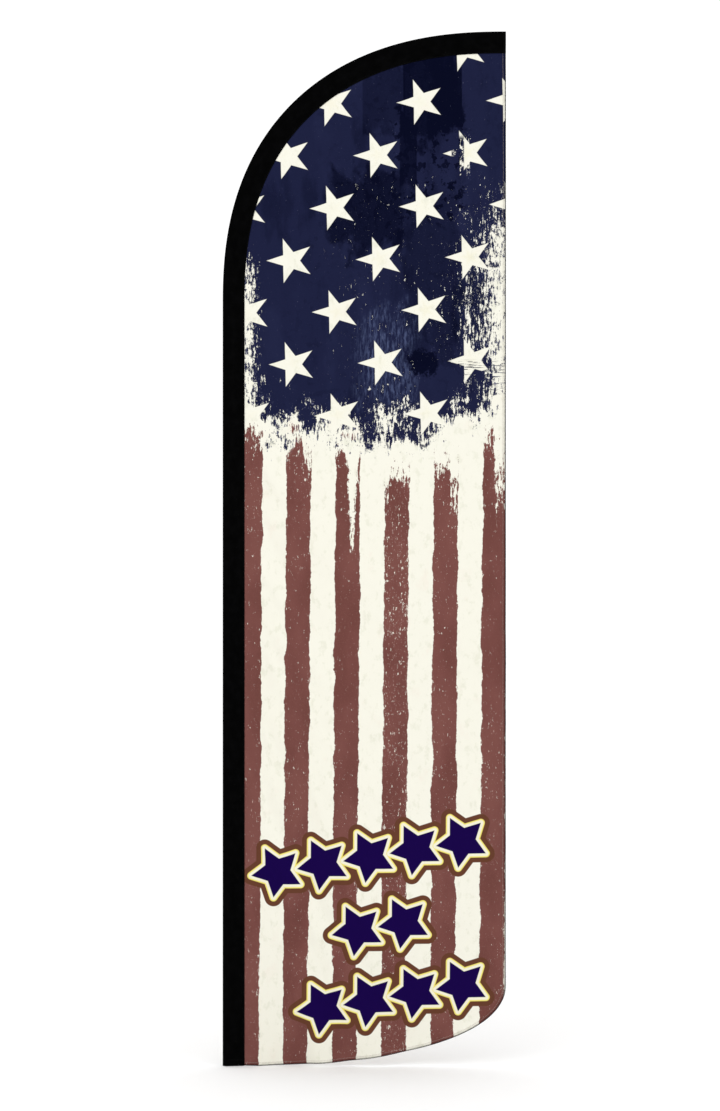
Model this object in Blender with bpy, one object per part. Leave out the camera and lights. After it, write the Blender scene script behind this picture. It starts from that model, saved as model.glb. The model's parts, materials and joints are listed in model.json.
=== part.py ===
"""Feather flag on its hidden pole, one closed solid for each piece. Metres, +Z up.

The origin is the centre of the spindle's foot, on the pole's axis. +X runs from the pole to the
fly edge, and the printed side of the flag faces -Y.
"""

import math

import bmesh
import bpy
import numpy as np
from mathutils import Vector

# Flag: overall size and outline
FLAG_HEIGHT = 3.505  # sleeve mouth to the crown of the arc, 11 ft 6 in
FLAG_WIDTH = 0.960  # pole edge to fly edge, 38 in
ARC_HEIGHT = 0.9225  # the curved top of the pole edge
ARC_EXPONENT = 2.36  # superellipse: a little squarer than an ellipse
FOOT_RISE = 0.276  # the curved bottom edge, from the sleeve up to the fly edge
FOOT_EXPONENT = 2.2

# Flag: cloth
SLEEVE_WIDTH = 0.074  # pole edge to the seam with the panel, laid flat
SLEEVE_WALL = 0.0010
SLEEVE_EASE = 0.0004  # slack between the sleeve and the widest tube
SLEEVE_SEAM_MARGIN = 0.008  # the two walls are sewn together over this width
SLEEVE_SEAM_SLIT = 0.0003  # half the slit that is left where the walls meet
SLEEVE_END_MARGIN = 0.010  # sewn shut over this length at the fly edge
PANEL_THICKNESS = 0.0010
HEM_WIDTH = 0.012
HEM_THICKNESS = 0.0020

# Pole: two tubes, one inside the other, and two rods on a ferrule
LOWER_TUBE_OD = 0.0220
LOWER_TUBE_WALL = 0.0012
LOWER_TUBE_LENGTH = 1.036
UPPER_TUBE_WALL = 0.0012
TUBE_OVERLAP = 0.100
ROD_LEAD = 0.580  # straight pole between the upper tube's top and the start of the arc
ROD_DIAMETER = 0.0095
ROD_TIP_DIAMETER = 0.0050
TIP_ROD_LENGTH = 1.050
FERRULE_LENGTH = 0.080
FERRULE_WALL = 0.00125
FERRULE_EASE = 0.0006  # slack between the ferrule and the sleeve round it
SLEEVE_TAPER_LENGTH = 0.400

# Pole: small fittings
BUSH_FLANGE = 0.003
BUSH_LENGTH = 0.025
STOP_RING_HEIGHT = 0.012
REDUCER_DEPTH = 0.066
REDUCER_FLOOR = 0.006
REDUCER_FLANGE = 0.006
TIP_CAP_LENGTH = 0.026
TIP_CAP_WALL = 0.0012
TIP_CAP_END = 0.002
POCKET_LENGTH = 0.060
POCKET_WALL = 0.0010
POCKET_END = 0.0015

# Rotating spindle in the sleeve's mouth
SPINDLE_SHAFT_DIAMETER = 0.0140
SPINDLE_LENGTH = 0.200
SPINDLE_FLANGE_HEIGHT = 0.008
SPINDLE_NECK_DIAMETER = 0.0100
SPINDLE_NECK_HEIGHT = 0.010
STUD_HOLE_DIAMETER = 0.0085  # tapping size of M10
STUD_HOLE_DEPTH = 0.024
NOSE_HEIGHT = 0.014
NOSE_CHAMFER = 0.003
WASHER_THICKNESS = 0.002

# Clearances and mesh fineness
GAP = 0.0003
FOLD_GAP = 0.0003  # each cloth edge to the fold line
TURNED_SIDES = 24
ROD_SIDES = 10
SLEEVE_ARC_SIDES = 10
STATION_PITCH = 0.030  # spacing of the sections along the bent pole
STATION_MARGIN = 0.003  # least spacing from a shared section to a piece's own end
TAPER_SECTIONS = 5
ARC_TABLE_STEPS = 4000
FOOT_SECTIONS = 18
SMOOTH_ANGLE = math.radians(35)

# Sizes and places that follow from those above
UPPER_TUBE_OD = LOWER_TUBE_OD - 2 * (LOWER_TUBE_WALL + GAP)
SLEEVE_RADIUS_AT_TUBES = LOWER_TUBE_OD / 2 + SLEEVE_EASE + SLEEVE_WALL
FERRULE_RADIUS = ROD_DIAMETER / 2 + GAP + FERRULE_WALL
SLEEVE_RADIUS_AT_RODS = FERRULE_RADIUS + FERRULE_EASE + SLEEVE_WALL
HOIST_X = -SLEEVE_RADIUS_AT_TUBES
FLY_X = HOIST_X + FLAG_WIDTH
SEAM_X = HOIST_X + SLEEVE_WIDTH
SPRING_Z = FLAG_HEIGHT - ARC_HEIGHT
SEAM_HALF_THICKNESS = SLEEVE_WALL + SLEEVE_SEAM_SLIT
WASHER_Z = SPINDLE_FLANGE_HEIGHT + GAP
FOOT_BUSH_Z = WASHER_Z + WASHER_THICKNESS + GAP
LOWER_TUBE_Z = FOOT_BUSH_Z + BUSH_FLANGE + GAP
LOWER_TUBE_TOP = LOWER_TUBE_Z + LOWER_TUBE_LENGTH
UPPER_TUBE_Z = LOWER_TUBE_TOP - TUBE_OVERLAP
UPPER_TUBE_TOP = SPRING_Z - ROD_LEAD
REDUCER_TOP = UPPER_TUBE_TOP + GAP + REDUCER_FLANGE
REDUCER_Z = UPPER_TUBE_TOP + GAP - REDUCER_DEPTH
ROD_FOOT_Z = REDUCER_Z + REDUCER_FLOOR + GAP
SLEEVE_TAPER_START = REDUCER_TOP + SLEEVE_WALL
SLEEVE_TAPER_END = SLEEVE_TAPER_START + SLEEVE_TAPER_LENGTH
FOLD_FOOT = Vector((SEAM_X + GAP, 0.0, 0.0))
FOLD_TOP = Vector((FLY_X, 0.0, FLAG_HEIGHT - SLEEVE_WIDTH - GAP))

COLOURS = {
    "sleeve_cloth": ((0.004, 0.004, 0.005), 0.85, 0.0),
    "canton_cloth": ((0.011, 0.014, 0.040), 0.80, 0.0),
    "stripe_cloth": ((0.190, 0.072, 0.062), 0.80, 0.0),
    "hem_cloth": ((0.020, 0.022, 0.035), 0.80, 0.0),
    "aluminium": ((0.72, 0.73, 0.75), 0.30, 1.0),
    "zinc_steel": ((0.60, 0.61, 0.62), 0.35, 1.0),
    "black_nylon": ((0.020, 0.020, 0.022), 0.55, 0.0),
    "white_acetal": ((0.80, 0.80, 0.78), 0.40, 0.0),
    "fibreglass": ((0.78, 0.77, 0.70), 0.35, 0.0),
    "webbing": ((0.015, 0.015, 0.016), 0.90, 0.0),
}


def clear_scene():
    """Removes every object that the file opened with."""
    for item in list(bpy.data.objects):
        bpy.data.objects.remove(item, do_unlink=True)


def make_material(name):
    colour, roughness, metallic = COLOURS[name]
    material = bpy.data.materials.get(name)
    if material is None:
        material = bpy.data.materials.new(name)
        material.use_nodes = True
        shader = material.node_tree.nodes["Principled BSDF"]
        shader.inputs["Base Color"].default_value = (*colour, 1.0)
        shader.inputs["Roughness"].default_value = roughness
        shader.inputs["Metallic"].default_value = metallic
        material.diffuse_color = (*colour, 1.0)
    return material


def make_axis(name, location, direction, parent=None):
    """An empty on a joint's axis, its local Z along that axis."""
    empty = bpy.data.objects.new(name, None)
    empty.empty_display_size = 0.05
    empty.rotation_mode = "QUATERNION"
    empty.location = location
    empty.rotation_quaternion = Vector(direction).to_track_quat("Z", "Y")
    bpy.context.scene.collection.objects.link(empty)
    attach(empty, parent)
    return empty


def attach(item, parent):
    """Parents an object without moving it."""
    bpy.context.view_layer.update()
    if parent is not None:
        item.parent = parent
        item.matrix_parent_inverse = parent.matrix_world.inverted()


def add_piece(name, shape, material, parent, origin=(0.0, 0.0, 0.0)):
    """Turns a bmesh in world coordinates into a named object whose origin is at the given place."""
    bmesh.ops.translate(shape, verts=shape.verts, vec=-Vector(origin))
    mesh = bpy.data.meshes.new(name)
    shape.to_mesh(mesh)
    shape.free()
    mesh.shade_smooth()
    mesh.set_sharp_from_angle(angle=SMOOTH_ANGLE)
    mesh.materials.append(make_material(material))
    piece = bpy.data.objects.new(name, mesh)
    piece.location = origin
    bpy.context.scene.collection.objects.link(piece)
    attach(piece, parent)
    return piece


def turned(profile, closed):
    """Spins a profile of (radius, height) points about Z; an open one starts and ends on the axis."""
    shape = bmesh.new()
    verts = [shape.verts.new((radius, 0.0, height)) for radius, height in profile]
    pairs = list(zip(verts, verts[1:]))
    if closed:
        pairs.append((verts[-1], verts[0]))
    edges = [shape.edges.new(pair) for pair in pairs]
    bmesh.ops.spin(
        shape,
        geom=verts + edges,
        cent=(0.0, 0.0, 0.0),
        axis=(0.0, 0.0, 1.0),
        angle=math.tau,
        steps=TURNED_SIDES,
        use_merge=True,
    )
    bmesh.ops.remove_doubles(shape, verts=shape.verts, dist=1e-6)
    bmesh.ops.recalc_face_normals(shape, faces=shape.faces)
    return shape


def ring_profile(inner, outer, low, high):
    """The square profile of a tube, washer or ring."""
    return [(outer, high), (outer, low), (inner, low), (inner, high)]


def flanged_profile(inner, outer, flange, low, shoulder, high):
    """A bush with its flange at the bottom, from low up to the shoulder."""
    barrel = [(outer, high), (outer, shoulder)]
    return barrel + [(flange, shoulder), (flange, low), (inner, low), (inner, high)]


def superellipse_quarter(exponent, steps):
    """Points on a unit quarter from (0, 0) to (1, 1), leaving upwards, and their inward normals."""
    angle = np.linspace(0.0, math.pi / 2, steps + 1)
    cosine = np.clip(np.cos(angle), 0.0, 1.0)
    sine = np.sin(angle)
    across = cosine ** (2 / exponent)
    up = sine ** (2 / exponent)
    return 1.0 - across, up, across ** (exponent - 1), up ** (exponent - 1)


class PoleEdge:
    """The flag's outer edge along the pole: straight up from the mouth, then over the arc."""

    def __init__(self):
        right, up, slope_x, slope_z = superellipse_quarter(ARC_EXPONENT, ARC_TABLE_STEPS)
        self.x = HOIST_X + FLAG_WIDTH * right
        self.z = SPRING_Z + ARC_HEIGHT * up
        steps = np.hypot(np.diff(self.x), np.diff(self.z))
        self.run = SPRING_Z + np.concatenate([[0.0], np.cumsum(steps)])
        normal_x = slope_x / FLAG_WIDTH
        normal_z = -slope_z / ARC_HEIGHT
        length = np.hypot(normal_x, normal_z)
        self.normal_x = normal_x / length
        self.normal_z = normal_z / length
        self.length = float(self.run[-1])

    def at(self, run):
        """The point at this distance from the mouth, and the direction from it into the flag."""
        if run <= SPRING_Z:
            return Vector((HOIST_X, 0.0, run)), Vector((1.0, 0.0, 0.0))
        point = Vector((np.interp(run, self.run, self.x), 0.0, np.interp(run, self.run, self.z)))
        inward = Vector(
            (np.interp(run, self.run, self.normal_x), 0.0, np.interp(run, self.run, self.normal_z))
        )
        return point, inward.normalized()

    def inset(self, run, depth, sideways=0.0):
        """The point this deep inside the edge, and this far towards +Y."""
        point, inward = self.at(run)
        return point + inward * depth + Vector((0.0, sideways, 0.0))

    def stations(self, start, end):
        """Distances for the sections of a piece: its ends, the sleeve's taper and an even arc pitch."""
        taper = np.linspace(SLEEVE_TAPER_START, SLEEVE_TAPER_END, TAPER_SECTIONS + 1)
        cells = math.ceil((self.length - SPRING_Z) / STATION_PITCH)
        arc = np.linspace(SPRING_Z, self.length, cells + 1)
        shared = np.concatenate([taper, arc])
        between = [run for run in shared if start + STATION_MARGIN < run < end - STATION_MARGIN]
        return [start, *between, end]


EDGE = PoleEdge()


def sleeve_radius(run):
    """Radius of the sleeve's round part, which is also the depth of the pole's axis in the flag."""
    share = (run - SLEEVE_TAPER_START) / (SLEEVE_TAPER_END - SLEEVE_TAPER_START)
    share = min(max(share, 0.0), 1.0)
    smooth = share * share * (3 - 2 * share)
    return SLEEVE_RADIUS_AT_TUBES + (SLEEVE_RADIUS_AT_RODS - SLEEVE_RADIUS_AT_TUBES) * smooth


def rod_section(run, radius):
    """A round section about the pole's axis."""
    depth = sleeve_radius(run)
    section = []
    for side in range(ROD_SIDES):
        angle = math.tau * side / ROD_SIDES
        across = radius * math.cos(angle)
        section.append(EDGE.inset(run, depth - across, radius * math.sin(angle)))
    return section


def sleeve_section(run, radius, seam_depth, seam_half):
    """A drop-shaped section: an arc round the pole and two flat walls that meet at the seam."""
    centre = sleeve_radius(run)
    reach = math.hypot(seam_depth - centre, seam_half)
    touch = math.atan2(seam_half, seam_depth - centre) + math.acos(radius / reach)
    section = [EDGE.inset(run, seam_depth, seam_half)]
    for side in range(SLEEVE_ARC_SIDES + 1):
        angle = touch + (math.tau - 2 * touch) * side / SLEEVE_ARC_SIDES
        depth = centre + radius * math.cos(angle)
        section.append(EDGE.inset(run, depth, radius * math.sin(angle)))
    section.append(EDGE.inset(run, seam_depth, -seam_half))
    return section


def skin(shape, sections):
    """Joins sections of equal count into a tube and returns its first and last loops of vertices."""
    loops = [[shape.verts.new(point) for point in section] for section in sections]
    for near, far in zip(loops, loops[1:]):
        for index, vert in enumerate(near):
            after = (index + 1) % len(near)
            shape.faces.new((vert, near[after], far[after], far[index]))
    return loops[0], loops[-1]


def lofted(outer, inner=None, open_ends=1):
    """A closed solid through the outer sections, with a hollow open at its first end or at both."""
    shape = bmesh.new()
    outer_ends = skin(shape, outer)
    inner_ends = skin(shape, inner) if inner else ([], [])
    for number, (outside, inside) in enumerate(zip(outer_ends, inner_ends)):
        if inside and number < open_ends:
            for index in range(len(outside)):
                after = (index + 1) % len(outside)
                shape.faces.new((outside[index], outside[after], inside[after], inside[index]))
            continue
        shape.faces.new(outside)
        if inside:
            shape.faces.new(inside)
    bmesh.ops.recalc_face_normals(shape, faces=shape.faces)
    return shape


def rod_sections(start, end, radius_at):
    return [rod_section(run, radius_at(run)) for run in EDGE.stations(start, end)]


def add_sheet(name, shape, thickness, material, parent, origin):
    """A flat cloth piece in the plane of the flag, thickened evenly to both sides."""
    bmesh.ops.recalc_face_normals(shape, faces=shape.faces)
    piece = add_piece(name, shape, material, parent, origin)
    solidify = piece.modifiers.new("thickness", "SOLIDIFY")
    solidify.thickness = thickness
    solidify.offset = 0.0
    return piece


def cut_at_fold(shape, keep_fly_side):
    """Trims a flat shape along the fold line, leaving the fold's gap."""
    along = (FOLD_TOP - FOLD_FOOT).normalized()
    to_fly = Vector((along.z, 0.0, -along.x))
    outward = -to_fly if keep_fly_side else to_fly
    bmesh.ops.bisect_plane(
        shape,
        geom=shape.verts[:] + shape.edges[:] + shape.faces[:],
        dist=1e-7,
        plane_co=FOLD_FOOT - outward * FOLD_GAP,
        plane_no=outward,
        clear_outer=True,
    )


def foot_curve(depth):
    """Points along the flag's curved bottom edge, this deep inside it, from the seam to the fly."""
    right, up, slope_x, slope_z = superellipse_quarter(FOOT_EXPONENT, FOOT_SECTIONS)
    run = FLY_X - SEAM_X
    points = []
    for across, rise, towards_seam, towards_fly in zip(up, right, slope_z, slope_x):
        inward = Vector((-towards_seam / run, 0.0, towards_fly / FOOT_RISE)).normalized()
        edge = Vector((SEAM_X + run * across, 0.0, FOOT_RISE * rise))
        points.append(edge + inward * depth)
    return points


def flat_face(points):
    shape = bmesh.new()
    shape.faces.new([shape.verts.new(point) for point in points])
    return shape


def flat_strip(near, far):
    """A band of quads between two rows of points."""
    shape = bmesh.new()
    near_row = [shape.verts.new(point) for point in near]
    far_row = [shape.verts.new(point) for point in far]
    for index in range(len(near) - 1):
        shape.faces.new((near_row[index], near_row[index + 1], far_row[index + 1], far_row[index]))
    return shape


def build_base(parent):
    """The spindle that the flag turns on, with its blind stud hole, and the nose over its neck."""
    shaft = SPINDLE_SHAFT_DIAMETER / 2
    neck = SPINDLE_NECK_DIAMETER / 2
    hole = STUD_HOLE_DIAMETER / 2
    flange = LOWER_TUBE_OD / 2
    neck_z = SPINDLE_LENGTH - SPINDLE_NECK_HEIGHT
    spindle = [
        (0.0, SPINDLE_LENGTH),
        (neck, SPINDLE_LENGTH),
        (neck, neck_z),
        (shaft, neck_z),
        (shaft, SPINDLE_FLANGE_HEIGHT),
        (flange, SPINDLE_FLANGE_HEIGHT),
        (flange, 0.0),
        (hole, 0.0),
        (hole, STUD_HOLE_DEPTH),
        (0.0, STUD_HOLE_DEPTH),
    ]
    add_piece("spindle", turned(spindle, closed=False), "zinc_steel", parent)
    nose_z = neck_z + GAP
    nose_top = nose_z + NOSE_HEIGHT
    nose = [
        (0.0, nose_top),
        (shaft - NOSE_CHAMFER, nose_top),
        (shaft, nose_top - NOSE_CHAMFER),
        (shaft, nose_z),
        (neck + GAP, nose_z),
        (neck + GAP, SPINDLE_LENGTH + GAP),
        (0.0, SPINDLE_LENGTH + GAP),
    ]
    add_piece("spindle_nose", turned(nose, closed=False), "black_nylon", parent)


def build_washer(parent):
    """The loose washer that the turning pole rests on."""
    profile = ring_profile(
        SPINDLE_SHAFT_DIAMETER / 2 + GAP, LOWER_TUBE_OD / 2, WASHER_Z, WASHER_Z + WASHER_THICKNESS
    )
    add_piece("thrust_washer", turned(profile, closed=True), "white_acetal", parent)


def build_lower_pole(parent):
    """The lower tube and the two bushes in it that run on the spindle."""
    bore = SPINDLE_SHAFT_DIAMETER / 2 + GAP
    outer = LOWER_TUBE_OD / 2
    inner = outer - LOWER_TUBE_WALL
    tube = ring_profile(inner, outer, LOWER_TUBE_Z, LOWER_TUBE_TOP)
    add_piece("lower_tube", turned(tube, closed=True), "aluminium", parent)
    shoulder = FOOT_BUSH_Z + BUSH_FLANGE
    foot = flanged_profile(bore, inner - GAP, outer, FOOT_BUSH_Z, shoulder, shoulder + BUSH_LENGTH)
    add_piece("foot_bush", turned(foot, closed=True), "black_nylon", parent)
    guide_top = SPINDLE_LENGTH - SPINDLE_NECK_HEIGHT
    guide = ring_profile(bore, inner - GAP, guide_top - BUSH_LENGTH, guide_top)
    add_piece("spindle_bush", turned(guide, closed=True), "black_nylon", parent)


def build_upper_pole(parent):
    """The upper tube, the ring it rests by on the lower tube, and the plug that takes the rod."""
    outer = UPPER_TUBE_OD / 2
    inner = outer - UPPER_TUBE_WALL
    tube = ring_profile(inner, outer, UPPER_TUBE_Z, UPPER_TUBE_TOP)
    add_piece("upper_tube", turned(tube, closed=True), "aluminium", parent)
    ring_z = LOWER_TUBE_TOP + GAP
    ring = ring_profile(outer + GAP, LOWER_TUBE_OD / 2, ring_z, ring_z + STOP_RING_HEIGHT)
    add_piece("stop_ring", turned(ring, closed=True), "black_nylon", parent)
    bore = ROD_DIAMETER / 2 + GAP
    plug = [
        (0.0, REDUCER_Z + REDUCER_FLOOR),
        (bore, REDUCER_Z + REDUCER_FLOOR),
        (bore, REDUCER_TOP),
        (outer, REDUCER_TOP),
        (outer, UPPER_TUBE_TOP + GAP),
        (inner - GAP, UPPER_TUBE_TOP + GAP),
        (inner - GAP, REDUCER_Z),
        (0.0, REDUCER_Z),
    ]
    add_piece("rod_reducer", turned(plug, closed=False), "black_nylon", parent)


def build_rods(parent):
    """The two bent rods, the ferrule that joins them, and the cap on the tip."""
    cavity_end = EDGE.length - SLEEVE_END_MARGIN
    pocket_end = cavity_end - GAP
    cap_end = pocket_end - POCKET_END - GAP
    rod_end = cap_end - TIP_CAP_END - GAP
    joint = rod_end - TIP_ROD_LENGTH
    thick = ROD_DIAMETER / 2
    thin = ROD_TIP_DIAMETER / 2
    taper_start = joint + FERRULE_LENGTH / 2
    taper_end = cap_end - TIP_CAP_LENGTH

    def tip_radius(run):
        share = min(max((run - taper_start) / (taper_end - taper_start), 0.0), 1.0)
        return thick + (thin - thick) * share

    lower = rod_sections(ROD_FOOT_Z, joint - GAP / 2, lambda run: thick)
    add_piece("flex_rod_lower", lofted(lower), "fibreglass", parent)
    tip_runs = sorted([*EDGE.stations(joint + GAP / 2, rod_end), taper_start, taper_end])
    tip = [rod_section(run, tip_radius(run)) for run in tip_runs]
    add_piece("flex_rod_tip", lofted(tip), "fibreglass", parent)

    start = joint - FERRULE_LENGTH / 2
    end = joint + FERRULE_LENGTH / 2
    outside = rod_sections(start, end, lambda run: FERRULE_RADIUS)
    inside = rod_sections(start, end, lambda run: thick + GAP)
    add_piece("rod_ferrule", lofted(outside, inside, open_ends=2), "aluminium", parent)

    cap_radius = thin + GAP + TIP_CAP_WALL
    cap_start = cap_end - TIP_CAP_LENGTH + GAP
    outside = rod_sections(cap_start, cap_end, lambda run: cap_radius)
    inside = rod_sections(cap_start, cap_end - TIP_CAP_END, lambda run: thin + GAP)
    add_piece("tip_cap", lofted(outside, inside), "black_nylon", parent)

    pocket_start = pocket_end - POCKET_LENGTH
    outside = rod_sections(pocket_start, pocket_end, lambda run: cap_radius + GAP + POCKET_WALL)
    inside = rod_sections(pocket_start, pocket_end - POCKET_END, lambda run: cap_radius + GAP)
    add_piece("tip_pocket", lofted(outside, inside), "webbing", parent)


def build_sleeve(parent):
    """The cloth sleeve: open at its mouth, sewn to the panel along its seam and shut at the fly."""
    outside = [
        sleeve_section(run, sleeve_radius(run), SLEEVE_WIDTH, SEAM_HALF_THICKNESS)
        for run in EDGE.stations(0.0, EDGE.length)
    ]
    seam = SLEEVE_WIDTH - SLEEVE_SEAM_MARGIN
    inside = [
        sleeve_section(run, sleeve_radius(run) - SLEEVE_WALL, seam, SLEEVE_SEAM_SLIT)
        for run in EDGE.stations(0.0, EDGE.length - SLEEVE_END_MARGIN)
    ]
    add_piece("pole_sleeve", lofted(outside, inside), "sleeve_cloth", parent)


def build_panel(hoist_parent, fly_parent):
    """The printed cloth, in two flat pieces that fold along the line from the foot to the top."""
    edge = SLEEVE_WIDTH + GAP
    hoist_points = [EDGE.inset(run, edge) for run in EDGE.stations(0.0, EDGE.length)]
    hoist = flat_face(hoist_points)
    cut_at_fold(hoist, keep_fly_side=False)
    add_sheet("panel_hoist_side", hoist, PANEL_THICKNESS, "canton_cloth", hoist_parent, FOLD_FOOT)

    inset = HEM_WIDTH + GAP
    top = Vector((FLY_X - inset, 0.0, FOLD_TOP.z))
    fly = flat_face([*foot_curve(inset), top, Vector((SEAM_X, 0.0, FOLD_TOP.z))])
    cut_at_fold(fly, keep_fly_side=True)
    add_sheet("panel_fly_side", fly, PANEL_THICKNESS, "stripe_cloth", fly_parent, FOLD_FOOT)

    low = FOOT_RISE + GAP
    outer_edge = [Vector((FLY_X, 0.0, low)), Vector((FLY_X, 0.0, FOLD_TOP.z))]
    inner_edge = [point - Vector((HEM_WIDTH, 0.0, 0.0)) for point in outer_edge]
    fly_hem = flat_strip(outer_edge, inner_edge)
    cut_at_fold(fly_hem, keep_fly_side=True)
    add_sheet("fly_hem", fly_hem, HEM_THICKNESS, "hem_cloth", fly_parent, FOLD_FOOT)

    foot_hem = flat_strip(foot_curve(0.0), foot_curve(HEM_WIDTH))
    cut_at_fold(foot_hem, keep_fly_side=True)
    add_sheet("bottom_hem", foot_hem, HEM_THICKNESS, "hem_cloth", fly_parent, FOLD_FOOT)


def main():
    clear_scene()
    upright = (0.0, 0.0, 1.0)
    base = make_axis("base_axis", (0.0, 0.0, 0.0), upright)
    swivel = make_axis("swivel_axis", (0.0, 0.0, WASHER_Z), upright, base)
    lift = make_axis("pole_lift_axis", (0.0, 0.0, FOOT_BUSH_Z), upright, swivel)
    tube_pull = make_axis("tube_pull_axis", (0.0, 0.0, LOWER_TUBE_TOP), upright, lift)
    rod_pull = make_axis("rod_pull_axis", (0.0, 0.0, ROD_FOOT_Z), upright, tube_pull)
    sway = make_axis("fly_sway_axis", FOLD_FOOT, FOLD_TOP - FOLD_FOOT, rod_pull)
    build_base(base)
    build_washer(swivel)
    build_lower_pole(lift)
    build_upper_pole(tube_pull)
    build_rods(rod_pull)
    build_sleeve(rod_pull)
    build_panel(rod_pull, sway)


main()
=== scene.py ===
"""Looks of a full-sleeve feather flag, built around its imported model. Metres, +Z up.

The frame's origin is the foot of the pole's axis. +X runs from the pole to the fly edge and the
printed front faces -Y. Each class builds one sub-assembly and dresses it.
"""

import json
import logging
import math
from dataclasses import dataclass, field
from enum import Enum
from typing import Any, Callable, Iterable, Sequence

import bmesh
import bpy
import numpy as np
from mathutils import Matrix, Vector, noise
from mathutils.bvhtree import BVHTree
from mathutils.geometry import delaunay_2d_cdt


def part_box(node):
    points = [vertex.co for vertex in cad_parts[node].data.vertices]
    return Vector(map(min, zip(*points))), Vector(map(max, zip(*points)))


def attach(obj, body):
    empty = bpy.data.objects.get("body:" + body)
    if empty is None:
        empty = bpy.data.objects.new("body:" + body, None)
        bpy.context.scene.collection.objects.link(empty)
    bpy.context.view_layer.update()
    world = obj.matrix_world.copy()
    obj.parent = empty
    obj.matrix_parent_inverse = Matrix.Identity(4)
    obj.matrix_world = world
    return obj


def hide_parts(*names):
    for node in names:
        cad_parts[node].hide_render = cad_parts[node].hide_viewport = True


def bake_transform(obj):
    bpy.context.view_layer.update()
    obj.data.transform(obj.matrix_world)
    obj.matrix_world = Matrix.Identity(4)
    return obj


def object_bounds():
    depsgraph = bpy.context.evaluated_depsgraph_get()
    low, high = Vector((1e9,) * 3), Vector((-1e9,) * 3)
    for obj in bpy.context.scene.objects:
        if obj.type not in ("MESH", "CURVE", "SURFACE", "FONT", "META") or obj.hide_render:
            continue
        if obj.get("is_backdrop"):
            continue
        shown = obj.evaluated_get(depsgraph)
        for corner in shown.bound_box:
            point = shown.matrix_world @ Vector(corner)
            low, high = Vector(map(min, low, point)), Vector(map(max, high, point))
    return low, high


logging.basicConfig(level=logging.INFO, format="%(message)s")
log = logging.getLogger("feather_flag")

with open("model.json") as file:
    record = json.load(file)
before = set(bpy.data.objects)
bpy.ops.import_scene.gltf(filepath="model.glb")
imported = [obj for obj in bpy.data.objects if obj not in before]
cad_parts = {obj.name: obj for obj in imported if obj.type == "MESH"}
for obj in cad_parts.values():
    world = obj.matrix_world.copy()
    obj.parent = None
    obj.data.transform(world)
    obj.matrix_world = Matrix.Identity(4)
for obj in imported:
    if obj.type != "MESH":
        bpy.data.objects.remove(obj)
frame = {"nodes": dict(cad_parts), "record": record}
CAD_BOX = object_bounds()

Point = tuple[float, float, float]
Colour = tuple[float, float, float]

# The flag's cut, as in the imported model
SLEEVE_LOW, SLEEVE_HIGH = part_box("pole_sleeve")
HOIST_X = SLEEVE_LOW.x
FLY_X = SLEEVE_HIGH.x
FLAG_HEIGHT = SLEEVE_HIGH.z
FLAG_WIDTH = FLY_X - HOIST_X
ARC_HEIGHT = 0.9225
ARC_EXPONENT = 2.36
FOOT_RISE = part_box("bottom_hem")[1].z
FOOT_EXPONENT = 2.2
SLEEVE_WIDTH = 0.074
SEAM_X = HOIST_X + SLEEVE_WIDTH
SPRING_Z = FLAG_HEIGHT - ARC_HEIGHT

# The gap between touching pieces and how far in the seam reaches
GAP = 0.0003
SEAM_LAP = 0.008


class Body(str, Enum):
    """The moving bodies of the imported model."""

    BASE = "base"
    TURNTABLE = "turntable"
    LOWER_POLE = "lower_pole"
    UPPER_POLE = "upper_pole"
    FLAG = "flag"
    FLY_CORNER = "fly_corner"


class Slot(str, Enum):
    """The record's material slots."""

    ZINC_STEEL = "zinc_steel"
    ALUMINIUM = "aluminium"
    BLACK_NYLON = "black_nylon"
    WHITE_ACETAL = "white_acetal"
    FIBREGLASS = "fibreglass"
    WEBBING = "pocket_webbing"
    SLEEVE_CLOTH = "sleeve_cloth"
    PRINTED_CLOTH = "printed_cloth"
    HEM_CLOTH = "hem_cloth"


class Face(Enum):
    """The two faces of the flag, by the sign of their Y."""

    FRONT = -1.0
    BACK = 1.0


def linear(red: float, green: float, blue: float) -> Colour:
    """Turns an 8-bit display colour into a linear one.

    Args:
        red: display red, 0 to 255.
        green: display green, 0 to 255.
        blue: display blue, 0 to 255.

    Returns:
        The linear colour.
    """

    def channel(value: float) -> float:
        """One channel of the display curve, undone."""
        share = value / 255
        return share / 12.92 if share <= 0.04045 else ((share + 0.055) / 1.055) ** 2.4

    return channel(red), channel(green), channel(blue)


# --------------------------------------------------------------------------------------------
# Node graphs


class Graph:
    """A node tree that is filled by one method."""

    def __init__(self, tree: bpy.types.NodeTree) -> None:
        """Keeps the tree to fill."""
        self.tree = tree

    def node(
        self,
        kind: str,
        settings: dict[str, Any] | None = None,
        inputs: dict[str | int, Any] | None = None,
    ) -> bpy.types.Node:
        """Adds a node, sets its settings and then its sockets.

        Args:
            kind: the node's type.
            settings: attributes of the node, set before any socket.
            inputs: socket name or number to a value, a Num or a socket.

        Returns:
            The node.
        """
        made = self.tree.nodes.new(kind)
        for name, value in (settings or {}).items():
            setattr(made, name, value)
        for key, value in (inputs or {}).items():
            self.feed(made.inputs[key], value)
        return made

    def feed(self, socket: bpy.types.NodeSocket, value: Any) -> None:
        """Links a Num or a socket to a socket, or sets its own value; three numbers are a colour."""
        if isinstance(value, Num):
            value = value.socket
        if isinstance(value, bpy.types.NodeSocket):
            self.tree.links.new(value, socket)
        elif isinstance(value, tuple) and len(value) == 3:
            socket.default_value = (*value, 1.0)
        else:
            socket.default_value = value


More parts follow.
